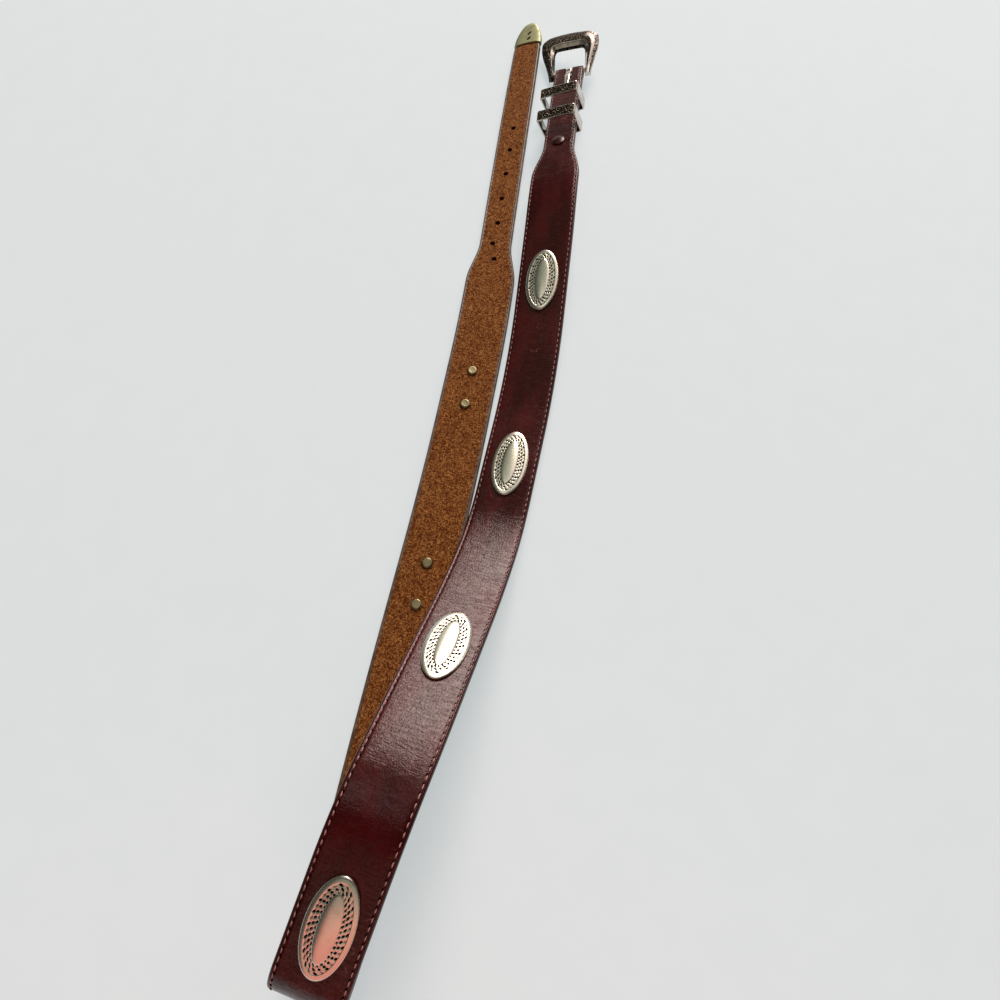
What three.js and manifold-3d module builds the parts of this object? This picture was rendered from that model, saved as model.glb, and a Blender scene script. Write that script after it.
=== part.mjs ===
// Western ranger belt, folded in half with its suede side in and laid down.
// Millimetres, +Z up, resting on z = 0, with the middle of its footprint at the origin.
// The strap's path is a table of short spans, walked from the metal tip to the buckle.

import * as THREE from 'three';
import { mergeVertices } from 'three/addons/utils/BufferGeometryUtils.js';
import Module from 'manifold-3d';

const wasm = await Module();
wasm.setup();

// Strap: a face of smooth leather and a suede lining, sewn together
const strapWidth = 38;
const billetWidth = 25.4;
const tipEndWidth = 24.6;
const faceThickness = 2.0;
const liningThickness = 2.2;
const seatGap = 0.3;
const edgeBevel = 0.7;
const strapThickness = faceThickness + seatGap + liningThickness;

// Lengths along the strap
const tipBilletLength = 286;
const tipShoulderToConcho = 108;
const conchoSpacing = 148;
const buckleShoulderToConcho = 99;
const buckleBilletLength = 147;
const conchoFlat = 50;

// Conchos and the rivets that hold them
const conchoLength = 49;
const conchoWidth = 24.5;
const conchoSides = 24;
const conchoProfile = [
  // wide, long: shares of the oval's half width and half length, height: above the leather
  { wide: 1.0, long: 1.0, height: 0.3 },
  { wide: 1.0, long: 1.0, height: 1.4 },
  { wide: 0.83, long: 0.9, height: 2.1 },
  { wide: 0.785, long: 0.87, height: 1.9 },
  { wide: 0.43, long: 0.675, height: 2.2 },
  { wide: 0.395, long: 0.635, height: 2.6 },
  { wide: 0.22, long: 0.35, height: 3.1 },
];
const conchoTop = 3.2;
const rivetSpacing = 28;
const rivetPostRadius = 1.9;
const rivetHeadRadius = 3.8;
const rivetHeadHeight = 1.4;
const rivetSides = 8;
const boreClearance = 0.3;

// Holes in the tip billet: distance from the shoulder and offset across
const holeRadius = 2.1;
const holes = [
  { fromShoulder: 151, across: 0 },
  { fromShoulder: 126, across: 0 },
  { fromShoulder: 99, across: -0.2 },
  { fromShoulder: 72, across: -0.5 },
  { fromShoulder: 46, across: -0.7 },
  { fromShoulder: 25, across: -2.2 },
  { fromShoulder: 9.7, across: 0.8 },
];

// Buckle
const barRadius = 1.75;
const barDrop = faceThickness + seatGap + barRadius;
const buckleTilt = 22;
const buckleBack = -1.8;
const buckleOutline = [
  // half outline from the arm's end to the middle of the free end
  { outerX: 18.8, outerY: -4.5, innerX: 13.9, innerY: -4.5 },
  { outerX: 19.9, outerY: 2, innerX: 13.9, innerY: 1 },
  { outerX: 22.4, outerY: 11, innerX: 13.9, innerY: 9 },
  { outerX: 25.0, outerY: 20, innerX: 13.8, innerY: 16.5 },
  { outerX: 25.9, outerY: 27.5, innerX: 13.4, innerY: 21 },
  { outerX: 24.8, outerY: 33.8, innerX: 12.0, innerY: 23.6 },
  { outerX: 19.0, outerY: 37.8, innerX: 8.8, innerY: 24.2 },
  { outerX: 9.5, outerY: 39.2, innerX: 4.4, innerY: 24.3 },
  { outerX: 0, outerY: 39.6, innerX: 0, innerY: 24.3 },
];
const buckleSection = [
  // across: from the outer edge (0) to the opening (1)
  { across: 1, height: buckleBack },
  { across: 1, height: 0.5 },
  { across: 0.74, height: 3.8 },
  { across: 0.5, height: 3.8 },
  { across: 0.22, height: 2.7 },
  { across: 0, height: 0.1 },
  { across: 0, height: buckleBack },
];

// Tongue, lying back on the strap. reach: from the bar, rise: above the bar
const tongueWidth = 4.4;
const tongueEyeRadius = 3.6;
const tongueArm = [
  { reach: 2.6, rise: 2.5 },
  { reach: 8, rise: 3.7 },
  { reach: 12.4, rise: 4.4 },
  { reach: 34, rise: 4.4 },
  { reach: 35.6, rise: 5.0 },
  { reach: 35.2, rise: 5.9 },
  { reach: 33, rise: 6.3 },
  { reach: 12, rise: 6.7 },
  { reach: 6, rise: 5.9 },
];
const slotWidth = 6.4;
const slotReach = 12;

// Keepers: loops that lean toward the shoulder. along: from the bar
const keeperWidth = 33.4;
const keeperHeight = 23.6;
const keeperBand = 9;
const keeperWall = 1.5;
const keeperCorner = 2.5;
const keeperSeats = [
  { name: 'keeper_near_buckle', along: 47, across: -1.8, up: -0.4, lean: 17, roll: 8.5, yaw: -2.6 },
  { name: 'keeper_near_snap', along: 78.7, across: -1.8, up: -0.4, lean: 19.4, roll: 8, yaw: -3.4 },
];

// Snap that closes the billet round the bar
const snapAlong = 106;
const snapAcross = -0.6;
const snapRadius = 5.6;
const snapHeight = 1.5;
const snapPostRadius = 1.6;
const snapBackRadius = 4.6;
const snapBackHeight = 1.2;

// Metal tip on the billet's end
const tipWall = 0.9;
const tipLength = 30;
const tipOutline = [
  { x: 12.7, y: 0 },
  { x: 12.2, y: 7 },
  { x: 10.5, y: 15 },
  { x: 7.2, y: 22.6 },
  { x: 3.1, y: 28.4 },
];
const tipBaseBow = 1.6;
const skive = 0.5;
const skiveEnd = 33.5;
const tipSlots = [
  { along: 13.6, across: -0.8 },
  { along: 6.7, across: -0.9 },
];
const tipSlotLength = 4.2;
const tipSlotWidth = 2.1;
const tipSlotTurn = 38;

// Fold round the bar
const wrapTurn = 185;
const wrapLength = barDrop * THREE.MathUtils.degToRad(wrapTurn);
const flapRise = 12;
const flapSettle = 6;
const flapLength = 96;

// Where the point of the tip lies, and how the strap leaves it
const start = { x: 0.671, y: 285.97, z: 6.29, heading: -0.614, dip: 1.237, roll: 19.996 };

const gapLength = conchoSpacing - conchoFlat;
const foldLength = gapLength / 3;
const halfGap = gapLength / 2;
const buckleSpan = (buckleShoulderToConcho - conchoFlat / 2) / 2;

// Bend curls the strap toward its suede side, twist turns it about its length,
// sway bends it flat, to one side; all in degrees over the span.
const spans = [
  { span: 'tip billet', length: tipBilletLength, bend: 1.05, twist: 18, sway: 1.2 },
  { span: 'tip shoulder', length: tipShoulderToConcho - conchoFlat / 2, bend: 0, twist: 2, sway: -2.9 },
  { span: 'concho 7', length: conchoFlat, bend: 0, twist: 0, sway: 0 },
  { span: 'concho 7 to 6', length: gapLength, bend: 0, twist: 0, sway: -2.1 },
  { span: 'concho 6', length: conchoFlat, bend: 0, twist: 0, sway: 0 },
  { span: 'concho 6 to 5', length: gapLength, bend: 0, twist: 0, sway: 1.0 },
  { span: 'concho 5', length: conchoFlat, bend: 0, twist: 0, sway: 0 },
  { span: 'fold, rising', length: foldLength, bend: 47.4, twist: 4.27, sway: -2 },
  { span: 'fold, end', length: foldLength, bend: 33.7, twist: 4.27, sway: -2 },
  { span: 'fold, over', length: foldLength, bend: 78.5, twist: 4.26, sway: -1.84 },
  { span: 'concho 4', length: conchoFlat, bend: 0, twist: 0, sway: 0 },
  { span: 'crest', length: halfGap, bend: 39.2, twist: 2, sway: -2.1 },
  { span: 'down from crest', length: halfGap, bend: 11.1, twist: 2, sway: -2.1 },
  { span: 'concho 3', length: conchoFlat, bend: 0, twist: 0, sway: 0 },
  { span: 'slope', length: halfGap, bend: -5.0, twist: 2.3, sway: -1.55 },
  { span: 'foot of slope', length: halfGap, bend: -25.3, twist: 2.3, sway: -1.55 },
  { span: 'concho 2', length: conchoFlat, bend: 0, twist: 0, sway: 0 },
  { span: 'low stretch', length: halfGap, bend: -6.4, twist: 3.4, sway: -1.71 },
  { span: 'rising stretch', length: halfGap, bend: -5.8, twist: 3.4, sway: -1.55 },
  { span: 'concho 1', length: conchoFlat, bend: 0, twist: 0, sway: 0 },
  { span: 'before shoulder', length: buckleSpan, bend: 4.5, twist: 0.75, sway: -2.1 },
  { span: 'buckle shoulder', length: buckleSpan, bend: 13.3, twist: 0.75, sway: -2.1 },
  { span: 'buckle billet', length: buckleBilletLength, bend: 0, twist: 0, sway: 0 },
  { span: 'wrap', length: wrapLength, bend: wrapTurn, twist: 0, sway: 0 },
  { span: 'flap rise', length: flapRise, bend: 0, twist: 0, sway: 0 },
  { span: 'flap settle', length: flapSettle, bend: 180 - wrapTurn, twist: 0, sway: 0 },
  { span: 'flap', length: flapLength, bend: 0, twist: 0, sway: 0 },
];

const degrees = THREE.MathUtils.degToRad;

// The strap's path

function startFrame() {
  const heading = degrees(start.heading);
  const roll = degrees(start.roll);
  const dip = degrees(start.dip);
  const across = new THREE.Vector3(Math.cos(heading), Math.sin(heading), 0);
  const along = new THREE.Vector3(Math.sin(heading), -Math.cos(heading), 0).applyAxisAngle(across, dip);
  const out = new THREE.Vector3(0, 0, -1).applyAxisAngle(across, dip);
  across.applyAxisAngle(along, roll);
  out.applyAxisAngle(along, roll);
  return { point: new THREE.Vector3(start.x, start.y, start.z), along, across, out };
}

function advance(frame, span, distance) {
  const turn = new THREE.Vector3()
    .addScaledVector(frame.across, -degrees(span.bend) / span.length)
    .addScaledVector(frame.out, -degrees(span.sway) / span.length)
    .addScaledVector(frame.along, -degrees(span.twist) / span.length);
  const rate = turn.length();
  const point = frame.point.clone();
  if (rate < 1e-9) {
    point.addScaledVector(frame.along, distance);
    return { point, along: frame.along, across: frame.across, out: frame.out };
  }
  const axis = turn.divideScalar(rate);
  const angle = rate * distance;
  const level = axis.clone().multiplyScalar(axis.dot(frame.along));
  const swing = frame.along.clone().sub(level);
  const side = axis.clone().cross(frame.along);
  point.addScaledVector(level, distance);
  point.addScaledVector(swing, Math.sin(angle) / rate);
  point.addScaledVector(side, (1 - Math.cos(angle)) / rate);
  const rotated = (vector) => vector.clone().applyAxisAngle(axis, angle);
  return { point, along: rotated(frame.along), across: rotated(frame.across), out: rotated(frame.out) };
}

const spanStarts = [];
let walkedLength = 0;
let walkedFrame = startFrame();
for (const span of spans) {
  spanStarts.push({ span, from: walkedLength, frame: walkedFrame });
  walkedFrame = advance(walkedFrame, span, span.length);
  walkedLength += span.length;
}

function frameAt(distance) {
  let current = spanStarts[0];
  for (const candidate of spanStarts) {
    if (candidate.from <= distance) {
      current = candidate;
    }
  }
  return advance(current.frame, current.span, distance - current.from);
}

function fromOf(name) {
  return spanStarts.find((entry) => entry.span.span === name).from;
}

const tipShoulder = fromOf('tip shoulder');
const barAt = fromOf('wrap');
const buckleShoulder = fromOf('buckle billet');
const conchoCentres = [];
for (let index = 0; index < 7; index += 1) {
  conchoCentres.push(fromOf(`concho ${7 - index}`) + conchoFlat / 2);
}

// Half width of the strap along its length
const taperLength = 38;
const tipTaperEnd = tipShoulder + 12;
const buckleTaperStart = buckleShoulder - 2;
const tipEndHalfWidths = [
  { at: 3.5, half: 1.6 },
  { at: 8, half: 4.7 },
  { at: 16, half: 8.6 },
  { at: 24, half: 10.7 },
  { at: 30.5, half: 11.2 },
  { at: 34, half: tipEndWidth / 2 },
  { at: 90, half: billetWidth / 2 },
];
const flapHalfWidths = [
  { at: barAt + wrapLength + flapRise, half: billetWidth / 2 },
  { at: walkedLength - 22, half: billetWidth / 2 - 0.6 },
  { at: walkedLength - 6, half: 8 },
  { at: walkedLength, half: 4.5 },
];

function fromTable(table, distance) {
  for (let index = 1; index < table.length; index += 1) {
    const next = table[index];
    const last = table[index - 1];
    if (distance <= next.at) {
      const share = (distance - last.at) / (next.at - last.at);
      return THREE.MathUtils.lerp(last.half, next.half, share);
    }
  }
  return table[table.length - 1].half;
}

function halfWidth(distance) {
  if (distance < tipEndHalfWidths[tipEndHalfWidths.length - 1].at) {
    return fromTable(tipEndHalfWidths, distance);
  }
  if (distance > flapHalfWidths[0].at) {
    return fromTable(flapHalfWidths, distance);
  }
  const rising = THREE.MathUtils.smoothstep(distance, tipTaperEnd - taperLength, tipTaperEnd);
  const falling = THREE.MathUtils.smoothstep(distance, buckleTaperStart, buckleTaperStart + taperLength);
  return THREE.MathUtils.lerp(billetWidth / 2, strapWidth / 2, rising * (1 - falling));
}

// Solids

function toManifold(geometry) {
  const plain = geometry.clone();
  plain.deleteAttribute('normal');
  plain.deleteAttribute('uv');
  const merged = mergeVertices(plain, 1e-4);
  return new wasm.Manifold(new wasm.Mesh({
    numProp: 3,
    vertProperties: new Float32Array(merged.attributes.position.array),
    triVerts: new Uint32Array(merged.index.array),
  }));
}

function toGeometry(solid) {
  const mesh = solid.getMesh();
  const geometry = new THREE.BufferGeometry();
  geometry.setAttribute('position', new THREE.BufferAttribute(mesh.vertProperties, 3));
  geometry.setIndex(new THREE.BufferAttribute(mesh.triVerts, 1));
  return geometry;
}

// A closed body through a row of rings with the same number of points
function loft(rings) {
  const size = rings[0].length;
  const positions = rings.flat().flatMap((point) => [point.x, point.y, point.z]);
  const indices = [];
  for (let ring = 0; ring < rings.length - 1; ring += 1) {
    const next = ring + 1;
    for (let side = 0; side < size; side += 1) {
      const beside = (side + 1) % size;
      const a = ring * size + side;
      const b = ring * size + beside;
      const c = next * size + beside;
      const d = next * size + side;
      // Both faces of a twisted strap are split along the same diagonal
      if (side < size / 2) {
        indices.push(a, b, c, a, c, d);
      } else {
        indices.push(a, b, d, b, c, d);
      }
    }
  }
  const end = (rings.length - 1) * size;
  for (let side = 1; side < size - 1; side += 1) {
    indices.push(0, side + 1, side);
    indices.push(end, end + side, end + side + 1);
  }
  const geometry = new THREE.BufferGeometry();
  geometry.setAttribute('position', new THREE.Float32BufferAttribute(positions, 3));
  geometry.setIndex(indices);
  return geometry;
}

function place(frame, across, out) {
  return frame.point.clone().addScaledVector(frame.across, across).addScaledVector(frame.out, out);
}

function plyStations(from, to) {
  const stations = [];
  for (const entry of spanStarts) {
    const { span } = entry;
    const turn = Math.abs(span.bend) + 4 * Math.abs(span.twist);
    const steps = Math.max(Math.ceil(span.length / 24), Math.ceil(turn / 10));
    for (let step = 0; step < steps; step += 1) {
      stations.push(entry.from + (span.length * step) / steps);
    }
  }
  stations.push(walkedLength);
  for (const row of [...tipEndHalfWidths, ...flapHalfWidths]) {
    stations.push(row.at);
  }
  stations.push(skiveEnd - 4, skiveEnd);
  for (let step = 0; step <= 5; step += 1) {
    stations.push(tipTaperEnd - (taperLength * step) / 5, buckleTaperStart + (taperLength * step) / 5);
  }
  const inside = stations.filter((at) => at > from + 0.5 && at < to - 0.5).sort((a, b) => a - b);
  const spaced = inside.filter((at, index) => index === 0 || at - inside[index - 1] > 0.5);
  return [from, ...spaced, to];
}

// The leather is thinned where the metal tip grips it
function thinning(distance) {
  return skive * (1 - THREE.MathUtils.smoothstep(distance, skiveEnd - 4, skiveEnd));
}

function plyGeometry(from, to, outermost, innermost, bevelTop) {
  const rings = plyStations(from, to).map((at) => {
    const frame = frameAt(at);
    const half = halfWidth(at);
    const top = bevelTop ? outermost - thinning(at) : outermost;
    const bottom = bevelTop ? innermost : innermost + thinning(at);
    const topHalf = bevelTop ? half - edgeBevel : half;
    const bottomHalf = bevelTop ? half : half - edgeBevel;
    const shoulder = bevelTop ? top - edgeBevel : bottom + edgeBevel;
    return [
      place(frame, topHalf, top),
      place(frame, half, bevelTop ? shoulder : top),
      place(frame, half, bevelTop ? bottom : shoulder),
      place(frame, bottomHalf, bottom),
      place(frame, -bottomHalf, bottom),
      place(frame, -half, bevelTop ? bottom : shoulder),
      place(frame, -half, bevelTop ? shoulder : top),
      place(frame, -topHalf, top),
    ];
  });
  return loft(rings);
}

function frameMatrix(frame, across = 0, out = 0) {
  return new THREE.Matrix4()
    .makeBasis(frame.across, frame.along, frame.out)
    .setPosition(place(frame, across, out));
}

function borer(frame, across, radius) {
  const cylinder = new THREE.CylinderGeometry(radius, radius, 30, rivetSides);
  cylinder.rotateX(Math.PI / 2);
  cylinder.applyMatrix4(frameMatrix(frame, across, -strapThickness / 2));
  return toManifold(cylinder);
}

function billetFrame() {
  return frameAt(barAt - 1e-6);
}

// A place on the buckle billet, counted from the bar toward the shoulder
function onBillet(along, across, out) {
  const frame = billetFrame();
  return place(frame, across, out).addScaledVector(frame.along, -along);
}

function slotCutter() {
  const box = new THREE.BoxGeometry(slotWidth, slotReach + 8, 20);
  const frame = billetFrame();
  const matrix = new THREE.Matrix4().makeBasis(frame.across, frame.along, frame.out);
  matrix.setPosition(onBillet((slotReach - 8) / 2, 0, -barDrop));
  box.applyMatrix4(matrix);
  return toManifold(box);
}

function shortBorer(frame, along, across, radius, top, bottom) {
  const cylinder = new THREE.CylinderGeometry(radius, radius, top - bottom, rivetSides);
  cylinder.rotateX(Math.PI / 2);
  const matrix = new THREE.Matrix4().makeBasis(frame.across, frame.along, frame.out);
  matrix.setPosition(onBillet(along, across, (top + bottom) / 2));
  cylinder.applyMatrix4(matrix);
  return toManifold(cylinder);
}

function rivetPlaces() {
  return conchoCentres.flatMap((centre) => [centre - rivetSpacing / 2, centre + rivetSpacing / 2]);
}

function boredPly(geometry, withSlot) {
  let solid = toManifold(geometry);
  for (const hole of holes) {
    solid = solid.subtract(borer(frameAt(tipShoulder - hole.fromShoulder), hole.across, holeRadius));
  }
  for (const at of rivetPlaces()) {
    const frame = frameAt(at);
    const bore = new THREE.CylinderGeometry(
      rivetPostRadius + boreClearance, rivetPostRadius + boreClearance, 12, rivetSides);
    bore.rotateX(Math.PI / 2);
    bore.applyMatrix4(frameMatrix(frame, 0, -strapThickness / 2));
    solid = solid.subtract(toManifold(bore));
  }
  const snapBore = shortBorer(
    billetFrame(), snapAlong, snapAcross, snapPostRadius + boreClearance, 2, -9);
  solid = solid.subtract(snapBore);
  if (withSlot) {
    solid = solid.subtract(slotCutter());
  }
  return toGeometry(solid);
}

// Materials

function finish(color, roughness, metalness) {
  return new THREE.MeshStandardMaterial({ color, roughness, metalness });
}

const burgundyLeather = finish(0x3a1212, 0.45, 0);
const brownSuede = finish(0x7c4d28, 0.95, 0);
const antiqueNickel = finish(0x8d8b80, 0.35, 1);
const brightNickel = finish(0xb9b5aa, 0.25, 1);

const belt = new THREE.Group();

function addMesh(name, geometry, material, matrix, parent = belt) {
  const mesh = new THREE.Mesh(geometry, material);
  mesh.name = name;
  if (matrix) {
    mesh.applyMatrix4(matrix);
  }
  parent.add(mesh);
  return mesh;
}

// Strap

const faceStart = tipEndHalfWidths[0].at;
const liningEnd = barAt - 3;
const facePly = plyGeometry(faceStart, walkedLength, 0, -faceThickness, true);
addMesh('face_leather', boredPly(facePly, true), burgundyLeather);
const liningPly = plyGeometry(
  faceStart, liningEnd, -faceThickness - seatGap, -strapThickness, false);
addMesh('suede_lining', boredPly(liningPly, true), brownSuede);

// Conchos and rivets

function conchoGeometry() {
  const rings = conchoProfile.map(({ wide, long, height }) => {
    const ring = [];
    for (let side = 0; side < conchoSides; side += 1) {
      const angle = (2 * Math.PI * side) / conchoSides;
      ring.push(new THREE.Vector3(
        (Math.cos(angle) * wide * conchoWidth) / 2,
        (Math.sin(angle) * long * conchoLength) / 2,
        height));
    }
    return ring;
  });
  const positions = rings.flat().flatMap((point) => [point.x, point.y, point.z]);
  positions.push(0, 0, conchoProfile[0].height, 0, 0, conchoTop);
  const base = rings.length * conchoSides;
  const indices = [];
  for (let ring = 0; ring < rings.length - 1; ring += 1) {
    for (let side = 0; side < conchoSides; side += 1) {
      const beside = (side + 1) % conchoSides;
      const a = ring * conchoSides + side;
      const b = ring * conchoSides + beside;
      indices.push(a, b, b + conchoSides, a, b + conchoSides, a + conchoSides);
    }
  }
  const top = (rings.length - 1) * conchoSides;
  for (let side = 0; side < conchoSides; side += 1) {
    const beside = (side + 1) % conchoSides;
    indices.push(base, beside, side);
    indices.push(base + 1, top + side, top + beside);
  }
  const geometry = new THREE.BufferGeometry();
  geometry.setAttribute('position', new THREE.Float32BufferAttribute(positions, 3));
  geometry.setIndex(indices);
  return geometry;
}

// Lathe profiles run in the XY plane and are turned to stand along the strap's outward axis
function turned(profile, sides) {
  const geometry = new THREE.LatheGeometry(profile.map(([x, y]) => new THREE.Vector2(x, y)), sides);
  geometry.rotateX(Math.PI / 2);
  geometry.deleteAttribute('normal');
  geometry.deleteAttribute('uv');
  return mergeVertices(geometry, 1e-4);
}

function rivetGeometry() {
  const seat = -strapThickness - seatGap;
  return turned([
    [0, seat - rivetHeadHeight],
    [rivetHeadRadius * 0.75, seat - rivetHeadHeight * 0.9],
    [rivetHeadRadius, seat - rivetHeadHeight * 0.4],
    [rivetHeadRadius, seat],
    [rivetPostRadius, seat],
    [rivetPostRadius, 0],
    [0, 0],
  ], rivetSides);
}

conchoCentres.forEach((centre, index) => {
  const number = 7 - index;
  addMesh(`concho_${number}`, conchoGeometry(), antiqueNickel, frameMatrix(frameAt(centre)));
  const seats = { tip_side: -rivetSpacing / 2, buckle_side: rivetSpacing / 2 };
  for (const [side, offset] of Object.entries(seats)) {
    addMesh(`rivet_${number}_${side}`, rivetGeometry(), brightNickel, frameMatrix(frameAt(centre + offset)));
  }
});

// Metal tip

function tipShape(inset, base) {
  const shape = new THREE.Shape();
  const right = tipOutline.map(({ x, y }) => new THREE.Vector2(x - inset, y === 0 ? base : y - inset * 0.4));
  const left = right.map(({ x, y }) => new THREE.Vector2(-x, y)).reverse();
  shape.moveTo(right[0].x, right[0].y);
  shape.splineThru(right.slice(1));
  shape.quadraticCurveTo(0, 2 * (tipLength - inset) - right[right.length - 1].y - 1.6, left[0].x, left[0].y);
  shape.splineThru(left.slice(1));
  if (inset === 0) {
    shape.quadraticCurveTo(0, base + 2 * tipBaseBow, right[0].x, right[0].y);
  }
  return shape;
}

function slab(shape, bottom, top) {
  const geometry = new THREE.ExtrudeGeometry(
    shape, { depth: top - bottom, bevelEnabled: false, curveSegments: 4 });
  geometry.translate(0, 0, bottom);
  return toManifold(geometry);
}

function tipGeometry() {
  const back = skive - strapThickness - seatGap;
  const front = seatGap - skive;
  let solid = slab(tipShape(0, 0), back - tipWall, front + tipWall);
  solid = solid.subtract(slab(tipShape(tipWall, -5), back, front));
  for (const { along, across } of tipSlots) {
    const box = new THREE.BoxGeometry(tipSlotWidth, tipSlotLength, 4 * tipWall);
    box.rotateZ(degrees(tipSlotTurn));
    box.translate(across, along, back - tipWall);
    solid = solid.subtract(toManifold(box));
  }
  return toGeometry(solid);
}

const tipFrame = frameAt(tipLength * 0.7);
const tipMatrix = new THREE.Matrix4().makeBasis(
  tipFrame.across.clone().negate(), tipFrame.along.clone().negate(), tipFrame.out);
tipMatrix.setPosition(frameAt(tipLength).point);
addMesh('metal_tip', tipGeometry(), antiqueNickel, tipMatrix);

// Buckle end: everything here is placed from the bar's axis or from the billet

const billet = billetFrame();
const billetBasis = new THREE.Matrix4().makeBasis(billet.across, billet.along, billet.out);
const barMatrix = billetBasis.clone().setPosition(onBillet(0, 0, -barDrop));

function buckleRings() {
  const half = buckleOutline.slice().reverse();
  const rows = [...buckleOutline.map((row) => ({ ...row, sign: 1 })),
    ...half.slice(1).map((row) => ({ ...row, sign: -1 }))];
  const outer = new THREE.CatmullRomCurve3(
    rows.map((row) => new THREE.Vector3(row.sign * row.outerX, row.outerY, 0)));
  const inner = new THREE.CatmullRomCurve3(
    rows.map((row) => new THREE.Vector3(row.sign * row.innerX, row.innerY, 0)));
  const rings = [];
  const steps = (rows.length - 1) * 2;
  for (let step = 0; step <= steps; step += 1) {
    const from = outer.getPoint(step / steps);
    const to = inner.getPoint(step / steps);
    rings.push(buckleSection.map(({ across, height }) => {
      const point = from.clone().lerp(to, across);
      point.z = height;
      return point;
    }));
  }
  return rings;
}

function buckleGeometry() {
  const frame = toManifold(loft(buckleRings()));
  const bar = new THREE.CylinderGeometry(barRadius, barRadius, 2 * 17, 12);
  bar.rotateZ(Math.PI / 2);
  return toGeometry(frame.add(toManifold(bar)));
}

const buckleMatrix = barMatrix.clone().multiply(new THREE.Matrix4().makeRotationX(degrees(buckleTilt)));
addMesh('buckle_frame', buckleGeometry(), antiqueNickel, buckleMatrix);

function tongueGeometry() {
  const shape = new THREE.Shape();
  const first = tongueArm[0];
  const last = tongueArm[tongueArm.length - 1];
  shape.moveTo(first.reach, first.rise);
  for (const { reach, rise } of tongueArm.slice(1)) {
    shape.lineTo(reach, rise);
  }
  shape.absarc(0, 0, tongueEyeRadius, Math.PI / 2, Math.atan2(first.rise, first.reach) - 0.15, false);
  shape.closePath();
  const eye = new THREE.Path();
  eye.absarc(0, 0, barRadius + seatGap, 0, 2 * Math.PI, true);
  shape.holes.push(eye);
  const geometry = new THREE.ExtrudeGeometry(
    shape, { depth: tongueWidth, bevelEnabled: false, curveSegments: 6 });
  geometry.translate(0, 0, -tongueWidth / 2);
  geometry.applyMatrix4(new THREE.Matrix4().makeBasis(
    new THREE.Vector3(0, -1, 0), new THREE.Vector3(0, 0, 1), new THREE.Vector3(-1, 0, 0)));
  return toGeometry(toManifold(geometry));
}

addMesh('tongue', tongueGeometry(), antiqueNickel, barMatrix);

// Keepers

function roundedRectangle(path, width, height, radius) {
  const x = width / 2;
  const y = height / 2;
  path.moveTo(x - radius, -y);
  path.absarc(x - radius, -y + radius, radius, -Math.PI / 2, 0, false);
  path.absarc(x - radius, y - radius, radius, 0, Math.PI / 2, false);
  path.absarc(-x + radius, y - radius, radius, Math.PI / 2, Math.PI, false);
  path.absarc(-x + radius, -y + radius, radius, Math.PI, 1.5 * Math.PI, false);
  return path;
}

function keeperGeometry() {
  const shape = roundedRectangle(new THREE.Shape(), keeperWidth, keeperHeight, keeperCorner);
  const inner = roundedRectangle(
    new THREE.Path(), keeperWidth - 2 * keeperWall, keeperHeight - 2 * keeperWall, keeperCorner - 1);
  shape.holes.push(inner);
  const geometry = new THREE.ExtrudeGeometry(
    shape, { depth: keeperBand, bevelEnabled: false, curveSegments: 3 });
  geometry.translate(0, 0, -keeperBand / 2);
  geometry.rotateX(Math.PI / 2);
  return toGeometry(toManifold(geometry));
}

for (const seat of keeperSeats) {
  const matrix = billetBasis.clone().setPosition(onBillet(seat.along, seat.across, seat.up));
  matrix.multiply(new THREE.Matrix4().makeRotationX(degrees(seat.lean)));
  matrix.multiply(new THREE.Matrix4().makeRotationZ(degrees(seat.yaw)));
  matrix.multiply(new THREE.Matrix4().makeRotationY(degrees(-seat.roll)));
  addMesh(seat.name, keeperGeometry(), antiqueNickel, matrix);
}

// Snap

const snapMatrix = billetBasis.clone().setPosition(onBillet(snapAlong, snapAcross, 0));
const flapOuter = frameAt(walkedLength - 10);
const flapDepth = billet.out.dot(flapOuter.point.clone().sub(onBillet(0, 0, 0)));
const snapBackTop = flapDepth - seatGap;
addMesh('snap_cap', turned([
  [0, snapBackTop + 1.5],
  [snapPostRadius, snapBackTop + 1.5],
  [snapPostRadius, seatGap],
  [snapRadius, seatGap],
  [snapRadius, seatGap + snapHeight * 0.45],
  [snapRadius * 0.72, seatGap + snapHeight * 0.85],
  [0, seatGap + snapHeight],
], 16), burgundyLeather, snapMatrix);
addMesh('snap_stud', turned([
  [0, snapBackTop - snapBackHeight],
  [snapBackRadius * 0.8, snapBackTop - snapBackHeight],
  [snapBackRadius, snapBackTop - snapBackHeight * 0.5],
  [snapBackRadius, snapBackTop],
  [snapPostRadius * 0.8, snapBackTop],
  [snapPostRadius * 0.8, snapBackTop + 1.2],
  [0, snapBackTop + 1.2],
], 12), brightNickel, snapMatrix);

// Rest on z = 0 with the middle of the footprint at the origin
const bounds = new THREE.Box3().setFromObject(belt, true);
const middle = bounds.getCenter(new THREE.Vector3());
belt.position.set(-middle.x, -middle.y, -bounds.min.z);

export default belt;
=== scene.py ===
import math
from collections import namedtuple

import bmesh
import bpy
import numpy as np
from mathutils import Matrix, Vector


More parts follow.
